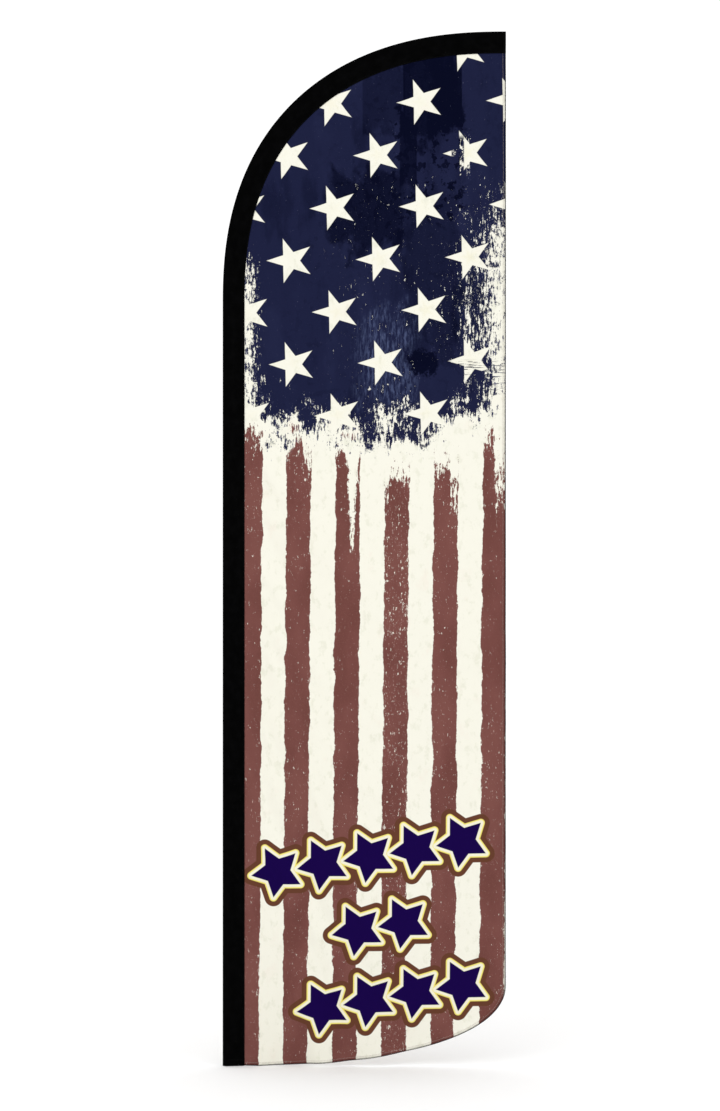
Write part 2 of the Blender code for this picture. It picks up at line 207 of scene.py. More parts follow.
def maths(operation: str, turned: bool = False) -> Callable[..., "Num"]:
    """Makes a method of Num that adds one Math node.

    Args:
        operation: what the node works out.
        turned: whether the other value comes first, as in a reflected operator.

    Returns:
        The method, which takes the other value where the operation has one.
    """

    def added(self: "Num", *others: Any) -> "Num":
        """Adds the node over self and the other value."""
        values = (*others, self) if turned else (self, *others)
        made = self.graph.node("ShaderNodeMath", {"operation": operation}, dict(enumerate(values)))
        return Num(self.graph, made.outputs[0])

    return added


class Num:
    """A shader value; Python operators on it add Math nodes."""

    def __init__(self, graph: Graph, socket: bpy.types.NodeSocket) -> None:
        """Keeps the graph that the value belongs to and its socket."""
        self.graph = graph
        self.socket = socket

    __add__ = maths("ADD")
    __radd__ = maths("ADD", turned=True)
    __sub__ = maths("SUBTRACT")
    __rsub__ = maths("SUBTRACT", turned=True)
    __mul__ = maths("MULTIPLY")
    __rmul__ = maths("MULTIPLY", turned=True)
    __truediv__ = maths("DIVIDE")
    above = maths("GREATER_THAN")  # 1 where self is over the other, else 0
    least = maths("MINIMUM")
    most = maths("MAXIMUM")
    size = maths("ABSOLUTE")
    root = maths("SQRT")
    sine = maths("SINE")
    cosine = maths("COSINE")
    nearest = maths("ROUND")
    angle_from = maths("ARCTAN2")  # the angle of the point (other, self)
    folded = maths("PINGPONG")  # runs up and down between 0 and the other

    def __neg__(self) -> "Num":
        """-self."""
        return self * -1.0

    def clamped(self) -> "Num":
        """self held between 0 and 1."""
        settings = {"operation": "ADD", "use_clamp": True}
        made = self.graph.node("ShaderNodeMath", settings, {0: self, 1: 0.0})
        return Num(self.graph, made.outputs[0])

    def wrapped(self, half: float) -> "Num":
        """Repeats between -half and half."""
        made = self.graph.node("ShaderNodeMath", {"operation": "WRAP"}, {0: self, 1: half, 2: -half})
        return Num(self.graph, made.outputs[0])

    def ramp(self, low: float, high: float) -> "Num":
        """Smoothly 0 to 1 as self goes from low to high, which may run down.

        Args:
            low: where the result is 0.
            high: where the result is 1.

        Returns:
            The smooth step.
        """
        settings = {"interpolation_type": "SMOOTHSTEP"}
        made = self.graph.node("ShaderNodeMapRange", settings, {0: self, 1: low, 2: high})
        return Num(self.graph, made.outputs[0])

    def band(self, middle: float, half: float, soft: float) -> "Num":
        """1 within half of middle, falling to 0 over soft outside it."""
        return (self - middle).size().ramp(half + soft, half)


class Paint(Graph):
    """A material being mixed: the graph, the shader and the usual coordinates."""

    def __init__(self, name: str) -> None:
        """Starts a material whose Principled shader is ready to be linked."""
        self.material = bpy.data.materials.new(name)
        self.material.use_nodes = True
        super().__init__(self.material.node_tree)
        self.shader = self.tree.nodes["Principled BSDF"]

    def place(self) -> tuple[Num, Num, Num]:
        """The object coordinates, in metres."""
        made = self.node("ShaderNodeTexCoord")
        return self.apart(made.outputs["Object"])

    def cloth(self) -> tuple[Num, Num]:
        """The cut's own coordinates: along the width and up, in metres."""
        made = self.node("ShaderNodeUVMap", {"uv_map": "Cut"})
        across, up, _ = self.apart(made.outputs[0])
        return across, up

    def apart(self, vector: bpy.types.NodeSocket) -> tuple[Num, Num, Num]:
        """A vector's three numbers."""
        made = self.node("ShaderNodeSeparateXYZ", None, {0: vector})
        return Num(self, made.outputs[0]), Num(self, made.outputs[1]), Num(self, made.outputs[2])

    def vector(self, x: Any, y: Any = 0.0, z: Any = 0.0) -> bpy.types.NodeSocket:
        """Three numbers as a vector."""
        return self.node("ShaderNodeCombineXYZ", None, {0: x, 1: y, 2: z}).outputs[0]

    def noise(
        self, vector: bpy.types.NodeSocket, scale: float = 1.0, detail: float = 3.0, rough: float = 0.55
    ) -> Num:
        """Fractal noise about 0.5.

        Args:
            vector: where to read it.
            scale: features per unit.
            detail: octaves.
            rough: how strong each next octave is.

        Returns:
            The noise, 0 to 1.
        """
        inputs = {"Vector": vector, "Scale": scale, "Detail": detail, "Roughness": rough}
        return Num(self, self.node("ShaderNodeTexNoise", None, inputs).outputs[0])

    def mix(self, share: Any, first: Any, second: Any, how: str = "MIX") -> bpy.types.NodeSocket:
        """Mixes two colours.

        Args:
            share: how much of the second.
            first: a colour or a socket.
            second: a colour or a socket.
            how: the blend type.

        Returns:
            The mixed colour's socket.
        """
        settings = {"data_type": "RGBA", "blend_type": how, "clamp_factor": True}
        made = self.node("ShaderNodeMix", settings, {0: share, 6: first, 7: second})
        return made.outputs[2]

    def bump(self, height: Num, strength: float, distance: float) -> None:
        """Feeds the shader's normal from a height in 0 to 1, distance metres tall."""
        inputs = {"Height": height, "Strength": strength, "Distance": distance}
        made = self.node("ShaderNodeBump", None, inputs)
        self.tree.links.new(made.outputs[0], self.shader.inputs["Normal"])

    def set(self, **values: Any) -> None:
        """Sets or links the shader's sockets; an underscore stands for a space."""
        for key, value in values.items():
            self.feed(self.shader.inputs[key.replace("_", " ")], value)


# --------------------------------------------------------------------------------------------
# Finishes


@dataclass(frozen=True)
class PlainCloth:
    """Black woven polyester of the sleeve: faint ribs, dusty lint and a matte weave."""

    name: str = "sleeve_polyester"
    dark: Colour = (0.0005, 0.0005, 0.0005)
    worn: Colour = (0.0022, 0.0022, 0.0024)
    thread_pitch: float = 0.0009
    roughness: float = 0.88

    def build(self) -> bpy.types.Material:
        """Mixes the material."""
        paint = Paint(self.name)
        across, up = paint.cloth()
        lint = paint.noise(paint.vector(across * 40, up * 26), detail=4, rough=0.62)
        fuzz = paint.noise(paint.vector(across * 900, up * 700), detail=2)
        warp = (across * (math.tau / self.thread_pitch)).sine()
        weft = (up * (math.tau / self.thread_pitch)).sine()
        weave = warp * weft * 0.5 + 0.5
        tone = (lint.ramp(0.35, 0.75) * 0.6 + fuzz * 0.4).clamped()
        paint.set(
            Base_Color=paint.mix(tone, self.dark, self.worn),
            Roughness=(self.roughness - 0.1 * lint).clamped(),
            Specular_IOR_Level=0.012,
        )
        paint.bump(weave * 0.7 + fuzz * 0.3, 0.35, 0.00025)
        return paint.material


@dataclass(frozen=True)
class Thread:
    """Spun polyester thread: ply lines round each stitch, in relief, with a painted highlight on their crests
    and random fibre fuzz in its colour.
    """

    name: str
    colour: Colour
    # the lighter colour painted on the ply crests: a painted highlight
    lift: Colour
    roughness: float = 0.8
    ply_pitch: float = 0.0006

    def build(self) -> bpy.types.Material:
        """Mixes the material."""
        paint = Paint(self.name)
        x, y, z = paint.place()
        ply = ((x + y * 0.8 + z) * (math.tau / self.ply_pitch)).sine() * 0.5 + 0.5
        fuzz = paint.noise(paint.vector(x, y, z), scale=900, detail=2)
        paint.set(
            # half painted highlight on the ply crests, which follows the bump, and half random fibre fuzz
            Base_Color=paint.mix(ply * 0.5 + fuzz * 0.5, self.colour, self.lift),
            Roughness=(self.roughness - 0.15 * ply).clamped(),
            Specular_IOR_Level=0.1,
        )
        paint.bump(ply, 0.4, 0.0001)
        return paint.material


@dataclass(frozen=True)
class Metal:
    """Drawn or plated metal: fine lines along or round the piece, faint stains, worn patches."""

    name: str
    bright: Colour
    dull: Colour
    roughness: float
    line_pitch: float = 0.0006
    round_lines: bool = False

    def build(self) -> bpy.types.Material:
        """Mixes the material."""
        paint = Paint(self.name)
        x, y, z = paint.place()
        if self.round_lines:
            grain = paint.noise(paint.vector(x * 30, y * 30, z / self.line_pitch), detail=3)
        else:
            grain = paint.noise(paint.vector(x / self.line_pitch, y / self.line_pitch, z * 6), detail=3)
        stain = paint.noise(paint.vector(x, y, z * 0.4), scale=60, detail=4, rough=0.6)
        mottled = (grain * 0.5 + stain.ramp(0.4, 0.7) * 0.5).clamped()
        paint.set(
            Base_Color=paint.mix(mottled, self.bright, self.dull),
            Metallic=1.0,
            Roughness=(self.roughness + 0.22 * (grain - 0.5) + 0.12 * stain).clamped(),
        )
        paint.bump(grain, 0.18, 0.00006)
        return paint.material


@dataclass(frozen=True)
class Moulding:
    """Moulded or machined plastic: fine spark-eroded grain, with scuffs that shine a little."""

    name: str
    base: Colour
    scuffed: Colour
    roughness: float
    grain: float = 1400.0

    def build(self) -> bpy.types.Material:
        """Mixes the material."""
        paint = Paint(self.name)
        x, y, z = paint.place()
        spot = paint.vector(x, y, z)
        pebble = paint.noise(spot, scale=self.grain, detail=2)
        scuff = paint.noise(paint.vector(x * 3, y * 3, z), scale=110, detail=5, rough=0.65).ramp(0.52, 0.68)
        paint.set(
            Base_Color=paint.mix(scuff * 0.7, self.base, self.scuffed),
            Roughness=(self.roughness + 0.12 * (pebble - 0.5) - 0.14 * scuff).clamped(),
        )
        paint.bump(pebble, 0.25, 0.00008)
        return paint.material


@dataclass(frozen=True)
class Fibreglass:
    """Pultruded rod: lengthwise strands under a clear resin skin."""

    name: str = "pultruded_fibreglass"
    resin: Colour = (0.62, 0.60, 0.50)
    strand: Colour = (0.80, 0.79, 0.72)

    def build(self) -> bpy.types.Material:
        """Mixes the material."""
        paint = Paint(self.name)
        round_it, along = paint.cloth()
        strands = paint.noise(paint.vector(round_it * 900, along * 12), detail=3, rough=0.6)
        cloud = paint.noise(paint.vector(round_it * 40, along * 9), detail=3)
        tone = (strands.ramp(0.3, 0.7) * 0.8 + cloud * 0.3).clamped()
        paint.set(
            Base_Color=paint.mix(tone, self.resin, self.strand),
            Roughness=(0.42 - 0.16 * strands).clamped(),
            Coat_Weight=0.35,
            Coat_Roughness=0.18,
        )
        paint.bump(strands, 0.25, 0.00008)
        return paint.material


@dataclass(frozen=True)
class Webbing:
    """Ballistic webbing of the tip pocket: heavy ribs across the tape, with painted shade in the grooves and
    a painted highlight on the crests.
    """

    name: str = "ballistic_webbing"
    base: Colour = (0.010, 0.010, 0.011)
    # the lighter colour painted on the rib crests: a painted highlight, which leaves painted shade in the
    # grooves
    rib_painted_highlight: Colour = (0.030, 0.030, 0.032)
    pitch: float = 0.0016

    def build(self) -> bpy.types.Material:
        """Mixes the material."""
        paint = Paint(self.name)
        round_it, along = paint.cloth()
        ribs = (along * (math.tau / self.pitch)).sine()
        twill = ((round_it + along * 0.5) * (math.tau / self.pitch)).sine()
        height = (ribs * 0.6 + twill * 0.4) * 0.5 + 0.5
        paint.set(
            # the colour follows the ribs' height: painted shade in the grooves, painted highlight on the
            # crests
            Base_Color=paint.mix(height, self.base, self.rib_painted_highlight),
            Roughness=(0.9 - 0.15 * height).clamped(),
            Specular_IOR_Level=0.2,
        )
        paint.bump(height, 0.5, 0.0003)
        return paint.material


@dataclass(frozen=True)
class Wear:
    """The grunge that every part of the print is worn by: noises spread over 0 to 1."""

    grain: Num
    brush: Num
    scratch: Num
    dust: Num
    cloud: Num
    wander: Num

    @staticmethod
    def spread(value: Num, gain: float = 3.0) -> Num:
        """Stretches a fractal noise so that it fills 0 to 1 about evenly."""
        return ((value - 0.5) * gain + 0.5).clamped()

    @classmethod
    def over(cls, paint: Paint, u: Num, v: Num) -> "Wear":
        """Mixes the noises.

        Args:
            paint: the material that they are for.
            u: metres across the cut.
            v: metres up the cut.

        Returns:
            The noises: torn grain, brushed streaks, hairlines, dust, clouds and a slow wander.
        """

        def spot(across: float, up: float, layer: float) -> bpy.types.NodeSocket:
            """The cut's coordinates at these scales, in a layer of their own."""
            return paint.vector(u * across, v * up, layer)

        return cls(
            grain=cls.spread(paint.noise(spot(75, 60, 0.5), detail=6, rough=0.74), 4.4),
            brush=cls.spread(paint.noise(spot(135, 22, 3.1), detail=6, rough=0.74), 4.4),
            scratch=cls.spread(paint.noise(spot(230, 50, 4.0), detail=3, rough=0.7)),
            dust=cls.spread(paint.noise(spot(330, 230, 1.9), detail=2, rough=0.6)),
            cloud=cls.spread(paint.noise(spot(9, 4.5, 7.7), detail=3, rough=0.5)),
            wander=paint.noise(spot(15, 11, 1.3), detail=5, rough=0.6) - 0.5,
        )


@dataclass(frozen=True)
class FlagPrint:
    """The dye print: a worn canton of stars over worn upright stripes, with three rows of badges.

    Lengths are metres on the cut, from the pole edge and from the mouth.
    """

    name: str = "flag_print"
    glow: float = 0.870  # how light the print is kept, for the studio's light
    fade: float = 0.06  # how much paler the back is
    # stars of the canton
    star_at: tuple[float, float] = (0.6795, 2.9155)
    star_stretch: float = 1.045  # how much wider the stars are than they are tall
    star_radius: float = 0.0785
    column: float = 0.1512
    row: float = 0.1756
    star_tilt: float = math.radians(1.3)
    # stripes
    stripe_start: float = 0.0508
    stripe_period: float = 0.1661
    canton_foot: float = 2.150
    # badges: three tilted rows of fat stars
    badge_middle: tuple[float, float] = (0.4990, 0.7100)
    badge_tilt: float = math.radians(9.4)
    badge_row: float = 0.2403
    badge_pitch: float = 0.1590
    badge_radius: float = 0.0900
    badge_waist: float = 0.520
    keyline: float = 0.0100
    fringe: float = 0.0034  # past the keyline
    halo: float = 0.0300
    # the warp knit
    course_pitch: float = 0.0013
    wale_pitch: float = 0.0011

    cream: Colour = linear(251, 249, 235)
    cream_shade: Colour = linear(240, 239, 222)
    cream_blush: Colour = linear(247, 236, 222)
    star_yolk: Colour = linear(246, 240, 205)
    printed_through: Colour = linear(238, 236, 228)
    navy: Colour = linear(29, 33, 63)
    navy_deep: Colour = linear(5, 8, 32)
    navy_soft: Colour = linear(42, 47, 80)
    navy_haze: Colour = linear(92, 104, 142)
    navy_scratch: Colour = linear(140, 143, 172)
    maroon: Colour = linear(121, 75, 70)
    maroon_deep: Colour = linear(109, 66, 60)
    maroon_soft: Colour = linear(134, 87, 80)
    maroon_fleck: Colour = linear(226, 196, 184)
    badge_ink: Colour = linear(24, 4, 72)
    badge_edge: Colour = linear(250, 246, 222)
    badge_fringe: Colour = linear(247, 232, 120)
    badge_halo: Colour = linear(104, 64, 47)

    def build(self) -> bpy.types.Material:
        """Mixes the material."""
        paint = Paint(self.name)
        u, v = paint.cloth()
        wear = Wear.over(paint, u, v)
        paper = self._paper(paint, u, v, wear)
        colour = self._stripes(paint, u, v, paper, wear)
        colour = self._canton(paint, u, v, paper, colour, wear)
        colour = self._badges(paint, u, v, colour)

        marked = paint.node("ShaderNodeAttribute", {"attribute_name": "reverse"})
        reverse = Num(paint, marked.outputs["Fac"])
        colour = paint.mix(reverse * self.fade, colour, self.printed_through)
        colour = paint.mix(1.0, colour, (self.glow, self.glow, self.glow), "MULTIPLY")

        course = (v * (math.tau / self.course_pitch)).sine()
        wale = (u * (math.tau / self.wale_pitch)).sine()
        knit = course * wale * 0.5 + 0.5
        paint.set(
            Base_Color=colour,
            Roughness=(0.86 + 0.08 * (wear.dust - 0.5)).clamped(),
            Specular_IOR_Level=0.03,
        )
        paint.bump(knit * 0.75 + wear.dust * 0.25, 0.18, 0.00020)
        return paint.material

    def _paper(self, paint: Paint, u: Num, v: Num, wear: "Wear") -> bpy.types.NodeSocket:
        """The unprinted cream, with faint stains."""
        stain = paint.noise(paint.vector(u * 34, v * 22, 5.0), detail=5, rough=0.66)
        blush = paint.noise(paint.vector(u * 15, v * 10, 9.0), detail=4, rough=0.6)
        colour = paint.mix(stain.ramp(0.52, 0.66) * 0.9, self.cream, self.cream_shade)
        return paint.mix(blush.ramp(0.55, 0.74) * 0.5 * wear.cloud, colour, self.cream_blush)

    def _stripes(
        self, paint: Paint, u: Num, v: Num, paper: bpy.types.NodeSocket, wear: "Wear"
    ) -> bpy.types.NodeSocket:
        """The upright stripes, ragged at their tops, streaked and flecked."""
        half = self.stripe_period / 4
        drift = (v - 1.9) * 0.0058
        ragged = wear.wander * 0.026 + (wear.grain - 0.5) * 0.0026
        side = u - (self.stripe_start + half) - drift + ragged
        across = side.wrapped(2 * half).size()
        stripe = across.ramp(half + 0.0008, half - 0.0008)

        # how far each place is worn: all the tops, then the places that are worn further down
        amount = (v + wear.wander * 0.30).ramp(2.035, 2.200) * 1.06
        amount = amount + across.ramp(half - 0.016, half) * wear.cloud * 0.24
        gash = ((v - 1.770) * 0.060 - (u - 0.4400).size() + wear.wander * 0.012).ramp(-0.012, 0.008)
        for middle, width, low, high, share in (
            (0.2870, 0.016, 1.93, 2.08, 0.50),
            (0.5920, 0.046, 1.955, 2.02, 0.80),
            (0.5540, 0.010, 1.84, 1.97, 0.46),
            (0.7600, 0.042, 1.965, 2.05, 0.62),
            (0.7830, 0.012, 1.83, 1.96, 0.56),
            (0.9400, 0.020, 1.80, 2.00, 0.56),
        ):
            amount = amount + u.band(middle, width * 0.75, width * 0.5) * v.ramp(low, high) * share
        amount = amount + gash * v.ramp(2.135, 2.09) * 0.95
        rubbed = (amount - (wear.brush * 0.66 + wear.grain * 0.34)).ramp(-0.02, 0.04)

        # fine flecks everywhere, more of them along the fourth stripe and near the tops
        busy = u.band(0.5900, 0.040, 0.012) * 0.08 + v.ramp(1.70, 2.05) * 0.03 + wear.cloud * 0.05
        fleck = (busy + 0.10 - (0.6 * wear.scratch + 0.4 * wear.dust)).ramp(-0.02, 0.05)
        speck = (busy + 0.055 - (0.6 * wear.grain + 0.4 * wear.scratch)).ramp(-0.015, 0.02)

        tone = paint.mix(wear.cloud.ramp(0.35, 1.0) * 0.5, self.maroon, self.maroon_soft)
        tone = paint.mix(wear.cloud.ramp(0.55, 0.0) * 0.6, tone, self.maroon_deep)
        tone = paint.mix(wear.dust.ramp(0.6, 1.0) * 0.4, tone, self.maroon_soft)
        tone = paint.mix(fleck * 0.65, tone, self.maroon_fleck)
        return paint.mix(stripe * (1 - rubbed) * (1 - speck), paper, tone)

    def _star(self, x: Num, y: Num) -> Num:
        """Signed distance to a sharp five-pointed star with one point to the left."""
        x = x * (1 / self.star_stretch)
        reach = (x * x + y * y).root()
        turn = y.angle_from(-x).folded(math.pi / 5)
        side = math.radians(72)
        return reach * (turn - side).cosine() - self.star_radius * math.cos(side)

    def _canton(
        self,
        paint: Paint,
        u: Num,
        v: Num,
        paper: bpy.types.NodeSocket,
        below: bpy.types.NodeSocket,
        wear: "Wear",
    ) -> bpy.types.NodeSocket:
        """The canton: navy with two offset lattices of stars, worn at its foot and its sides."""
        cos, sin = math.cos(self.star_tilt), math.sin(self.star_tilt)
        x = (u - self.star_at[0]) * cos + (v - self.star_at[1]) * sin
        y = (v - self.star_at[1]) * cos - (u - self.star_at[0]) * sin
        first = self._star(x.wrapped(self.column), y.wrapped(self.row))
        second = self._star((x - self.column).wrapped(self.column), (y - self.row).wrapped(self.row))
        distance = first.least(second) + wear.wander * 0.003
        star = distance.ramp(0.0010, -0.0010)

        # how far the navy is worn through
        low = v + wear.wander * 0.50 + (wear.cloud - 0.5) * 0.04
        foot = low.ramp(self.canton_foot + 0.170, self.canton_foot - 0.105)
        right = (u + wear.wander * 0.1).ramp(0.690, 0.950) * v.ramp(3.12, 2.66)
        rim = u.ramp(0.855, 0.950) * (v + wear.wander * 0.3).ramp(3.10, 2.74)
        left = (u + wear.wander * 0.02).ramp(0.150, 0.080) * v.ramp(2.80, 2.66)
        scar = u.band(0.8300, 0.004, 0.010) * (v.band(3.085, 0.055, 0.03) * 0.42 + v.ramp(2.80, 2.60) * 0.25)
        middle = u.band(0.58, 0.14, 0.14) * v.band(2.66, 0.24, 0.22) * 0.06
        amount = foot * 1.01 + right * 0.42 + rim * 0.30 + left * 0.60 + scar + middle - 0.02
        amount = amount - u.band(0.80, 0.09, 0.06) * v.band(2.28, 0.07, 0.06) * 0.16
        rubbed = (amount - (wear.brush * 0.55 + wear.grain * 0.45)).ramp(-0.018, 0.028)
        hairline = (amount * 0.6 + 0.07 - (0.6 * wear.scratch + 0.4 * wear.dust)).ramp(-0.02, 0.06)

        # tones of the navy: deep upright patches with straight sides, spots and paler brushing
        patch = Wear.spread(paint.noise(paint.vector(u * 7.5, v * 2.6, 11.0), detail=4, rough=0.6), 2.6)
        spots = paint.noise(paint.vector(u * 34, v * 30, 6.0), detail=4, rough=0.6).ramp(0.545, 0.58)
        bent_u = u + wear.wander * 0.10
        bent_v = v + wear.wander * 0.40
        deep = patch.ramp(0.62, 0.95) * 0.4
        for across, middle_u, half_u, soft_u, middle_v, half_v, soft_v, share in (
            (u, 0.5450, 0.068, 0.006, 3.275, 0.095, 0.05, 0.50),
            (u, 0.7110, 0.097, 0.004, 3.295, 0.130, 0.06, 0.90),
            (u, 0.6280, 0.026, 0.005, 3.090, 0.080, 0.06, 0.85),
            (bent_u, 0.4830, 0.110, 0.03, 2.905, 0.110, 0.07, 0.80),
            (bent_u, 0.7100, 0.080, 0.03, 2.700, 0.240, 0.08, 0.45),
        ):
            patched = across.band(middle_u, half_u, soft_u) * bent_v.band(middle_v, half_v, soft_v)
            deep = deep + patched * share
        blot_u = (u - 0.679) + wear.wander * 0.05
        blot_v = (v - 2.385) + (wear.grain - 0.5) * 0.03
        deep = deep + (blot_u * blot_u * 0.7 + blot_v * blot_v).root().ramp(0.050, 0.034)
        spotted = u.band(0.700, 0.105, 0.03) * v.band(3.06, 0.15, 0.08) + 0.30 * wear.cloud
        deep = (deep + spots * spotted * 0.8 + (wear.dust - 0.5) * 0.20).clamped()
        pale = (patch.ramp(0.45, 0.05) * (0.25 + 0.55 * wear.dust)).clamped()
        haze = bent_u.band(0.560, 0.065, 0.06) * bent_v.band(2.40, 0.10, 0.08) * (wear.brush - 0.35)
        tone = paint.mix(pale * 0.5, self.navy, self.navy_soft)
        tone = paint.mix(haze.clamped() * 0.9, tone, self.navy_haze)
        tone = paint.mix(deep, tone, self.navy_deep)
        tone = paint.mix(hairline * 0.5, tone, self.navy_scratch)

        above = (v + wear.wander * 0.10).ramp(self.canton_foot - 0.125, self.canton_foot - 0.100)
        # stars are painted over where the deep streaks cross them
        crossed = u.band(0.795, 0.019, 0.004) * v.band(3.08, 0.06, 0.02) * wear.grain.ramp(0.9, 0.7)
        dashes = Wear.spread(paint.noise(paint.vector(u * 16, v * 170, 8.0), detail=4, rough=0.7))
        dashed = u.band(0.80, 0.15, 0.04) * v.band(2.335, 0.045, 0.02) * dashes.ramp(0.66, 0.72)
        ink = (above * (1 - rubbed) * (1 - star * (1 - crossed))).most(dashed)
        yolk = distance.ramp(-0.008, -0.022) * 0.35 * wear.cloud
        paper = paint.mix(star * yolk, paper, self.star_yolk)
        ground = paint.mix(star * v.ramp(2.19, 2.20), below, paper)
        return paint.mix(ink.clamped(), ground, tone)

    def _badges(
        self, paint: Paint, u: Num, v: Num, below: bpy.types.NodeSocket
    ) -> bpy.types.NodeSocket:
        """Three tilted rows of fat stars with a cream keyline, a yellow fringe and a brown halo."""
        cos, sin = math.cos(self.badge_tilt), math.sin(self.badge_tilt)
        du = u - self.badge_middle[0]
        dv = v - self.badge_middle[1]
        along = du * cos + dv * sin
        across = dv * cos - du * sin
        row = (across * (-1 / self.badge_row)).nearest().most(0.0).least(2.0)
        across = across + row * self.badge_row
        # 5, 2 and 4 stars in the three rows
        last = 4.0 - 5.5 * row + 2.5 * row * row
        place = along * (1 / self.badge_pitch) + last * 0.5
        spot = place.nearest().most(0.0).least(last)
        beside = (spot + (place - spot).above(0.0) * 2 - 1).most(0.0).least(last)
        distance = self._fat_star((place - spot) * self.badge_pitch, across)
        distance = distance.least(self._fat_star((place - beside) * self.badge_pitch, across))
        soft = 0.0011
        colour = paint.mix(distance.ramp(self.halo + soft, self.halo - soft), below, self.badge_halo)
        edge = self.keyline + self.fringe
        colour = paint.mix(distance.ramp(edge + soft, edge - soft), colour, self.badge_fringe)
        colour = paint.mix(
            distance.ramp(self.keyline + 0.0012, self.keyline - 0.0030), colour, self.badge_edge
        )
        return paint.mix(distance.ramp(soft, -soft), colour, self.badge_ink)

    def _fat_star(self, x: Num, y: Num) -> Num:
        """True signed distance to a broad star, rounded outside its points."""
        reach = (x * x + y * y).root()
        turn = y.angle_from(-x).folded(math.pi / 5)
        px = reach * turn.cosine() - self.badge_radius
        py = reach * turn.sine()
        waist = self.badge_radius * self.badge_waist
        ex = waist * math.cos(math.pi / 5) - self.badge_radius
        ey = waist * math.sin(math.pi / 5)
        length = math.hypot(ex, ey)
        share = ((px * ex + py * ey) * (1 / length**2)).clamped()
        qx = px - share * ex
        qy = py - share * ey
        side = (py * ex - px * ey) * (-1 / length)
        gap = (qx * qx + qy * qy).root()
        return gap * (side.above(0.0) * 2 - 1)


@dataclass(frozen=True)
class StudioFloor:
    """Plain pale floor with the faintest grain."""

    name: str = "studio_floor"

    def build(self) -> bpy.types.Material:
        """Mixes the material."""
        paint = Paint(self.name)
        x, y, _ = paint.place()
        grain = paint.noise(paint.vector(x, y), scale=3.0, detail=3)
        paint.set(
            Base_Color=paint.mix(grain * 0.3, (0.985, 0.985, 0.985), (0.97, 0.97, 0.97)),
            Roughness=0.95,
            Specular_IOR_Level=0.0,
        )
        return paint.material


# --------------------------------------------------------------------------------------------
# Mesh helpers


def add_object(
    name: str, data: bpy.types.ID, material: bpy.types.Material | None = None
) -> bpy.types.Object:
    """Links a mesh, a camera or a light as an object at the origin.

    Args:
        name: the object's name.
        data: its data; a mesh is in frame coordinates.
        material: a mesh's only material, if it isn't there yet.

    Returns:
        The object.
    """
    if material is not None:
        data.materials.clear()
        data.materials.append(material)
    made = bpy.data.objects.new(name, data)
    bpy.context.scene.collection.objects.link(made)
    return made


def mesh_from(
    name: str, points: Iterable[Sequence[float]], faces: Iterable[Sequence[int]]
) -> bpy.types.Mesh:
    """A smooth mesh from points and faces."""
    mesh = bpy.data.meshes.new(name)
    mesh.from_pydata([tuple(map(float, p)) for p in points], [], [tuple(map(int, f)) for f in faces])
    mesh.validate()
    mesh.shade_smooth()
    return mesh


def lines_mesh(name: str, rows: Iterable[Sequence[Sequence[float]]]) -> bpy.types.Mesh:
    """A mesh of edges through the points of each row."""
    points, edges = [], []
    for row in rows:
        edges += [(k, k + 1) for k in range(len(points), len(points) + len(row) - 1)]
        points += [tuple(map(float, point)) for point in row]
    mesh = bpy.data.meshes.new(name)
    mesh.from_pydata(points, edges, [])
    return mesh


def grid_faces(rows: int, across: int) -> list[tuple[int, ...]]:
    """The quads of a grid of points that are numbered row by row."""
    lows = [r * across + k for r in range(rows - 1) for k in range(across - 1)]
    return [(low, low + across, low + across + 1, low + 1) for low in lows]


def points_of(mesh: bpy.types.Mesh) -> np.ndarray:
    """A mesh's points, as rows of x, y and z."""
    flat = np.empty(len(mesh.vertices) * 3)
    mesh.vertices.foreach_get("co", flat)
    return flat.reshape(-1, 3)


def write_value(mesh: bpy.types.Mesh, name: str, values: np.ndarray) -> None:
    """Writes one number for each point to an attribute of this name."""
    layer = mesh.attributes.new(name, "FLOAT", "POINT")
    layer.data.foreach_set("value", values.astype(np.float32))


def write_cut(mesh: bpy.types.Mesh, cut: np.ndarray) -> None:
    """Writes the cloth coordinates of each vertex to the UV map "Cut"."""
    layer = mesh.uv_layers.get("Cut") or mesh.uv_layers.new(name="Cut")
    corner = np.empty(len(mesh.loops), np.int64)
    mesh.loops.foreach_get("vertex_index", corner)
    layer.data.foreach_set("uv", cut[corner].astype(np.float32).ravel())


def finished(obj: bpy.types.Object) -> bpy.types.Object:
    """Applies an object's modifiers by putting its evaluated mesh in place of its own."""
    graph = bpy.context.evaluated_depsgraph_get()
    graph.update()
    mesh = bpy.data.meshes.new_from_object(
        obj.evaluated_get(graph), preserve_all_data_layers=True, depsgraph=graph
    )
    obj.modifiers.clear()
    obj.data = mesh
    mesh.shade_smooth()
    return obj


def thicken(cloth: bpy.types.Object, thickness: float) -> None:
    """Gives a piece of cloth its thickness, half of it on either side."""
    shell = cloth.modifiers.new("thickness", "SOLIDIFY")
    shell.thickness = thickness
    shell.offset = 0.0
    finished(cloth)


def fold_to_fly(obj: bpy.types.Object) -> None:
    """Bakes a cloth piece's transform into its mesh."""
    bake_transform(obj)


# --------------------------------------------------------------------------------------------
# The flag's outline


def superellipse_quarter(exponent: float, steps: int) -> tuple[np.ndarray, ...]:
    """Points on a unit quarter from (0, 0) to (1, 1), leaving upwards, and their inward normals.

    Args:
        exponent: 2 is an ellipse; a higher one is squarer.
        steps: the number of intervals.

    Returns:
        x, z, and the x and z of the inward normal before scaling.
    """
    angle = np.linspace(0.0, math.pi / 2, steps + 1)
    across = np.clip(np.cos(angle), 0.0, 1.0) ** (2 / exponent)
    up = np.sin(angle) ** (2 / exponent)
    return 1.0 - across, up, across ** (exponent - 1), up ** (exponent - 1)


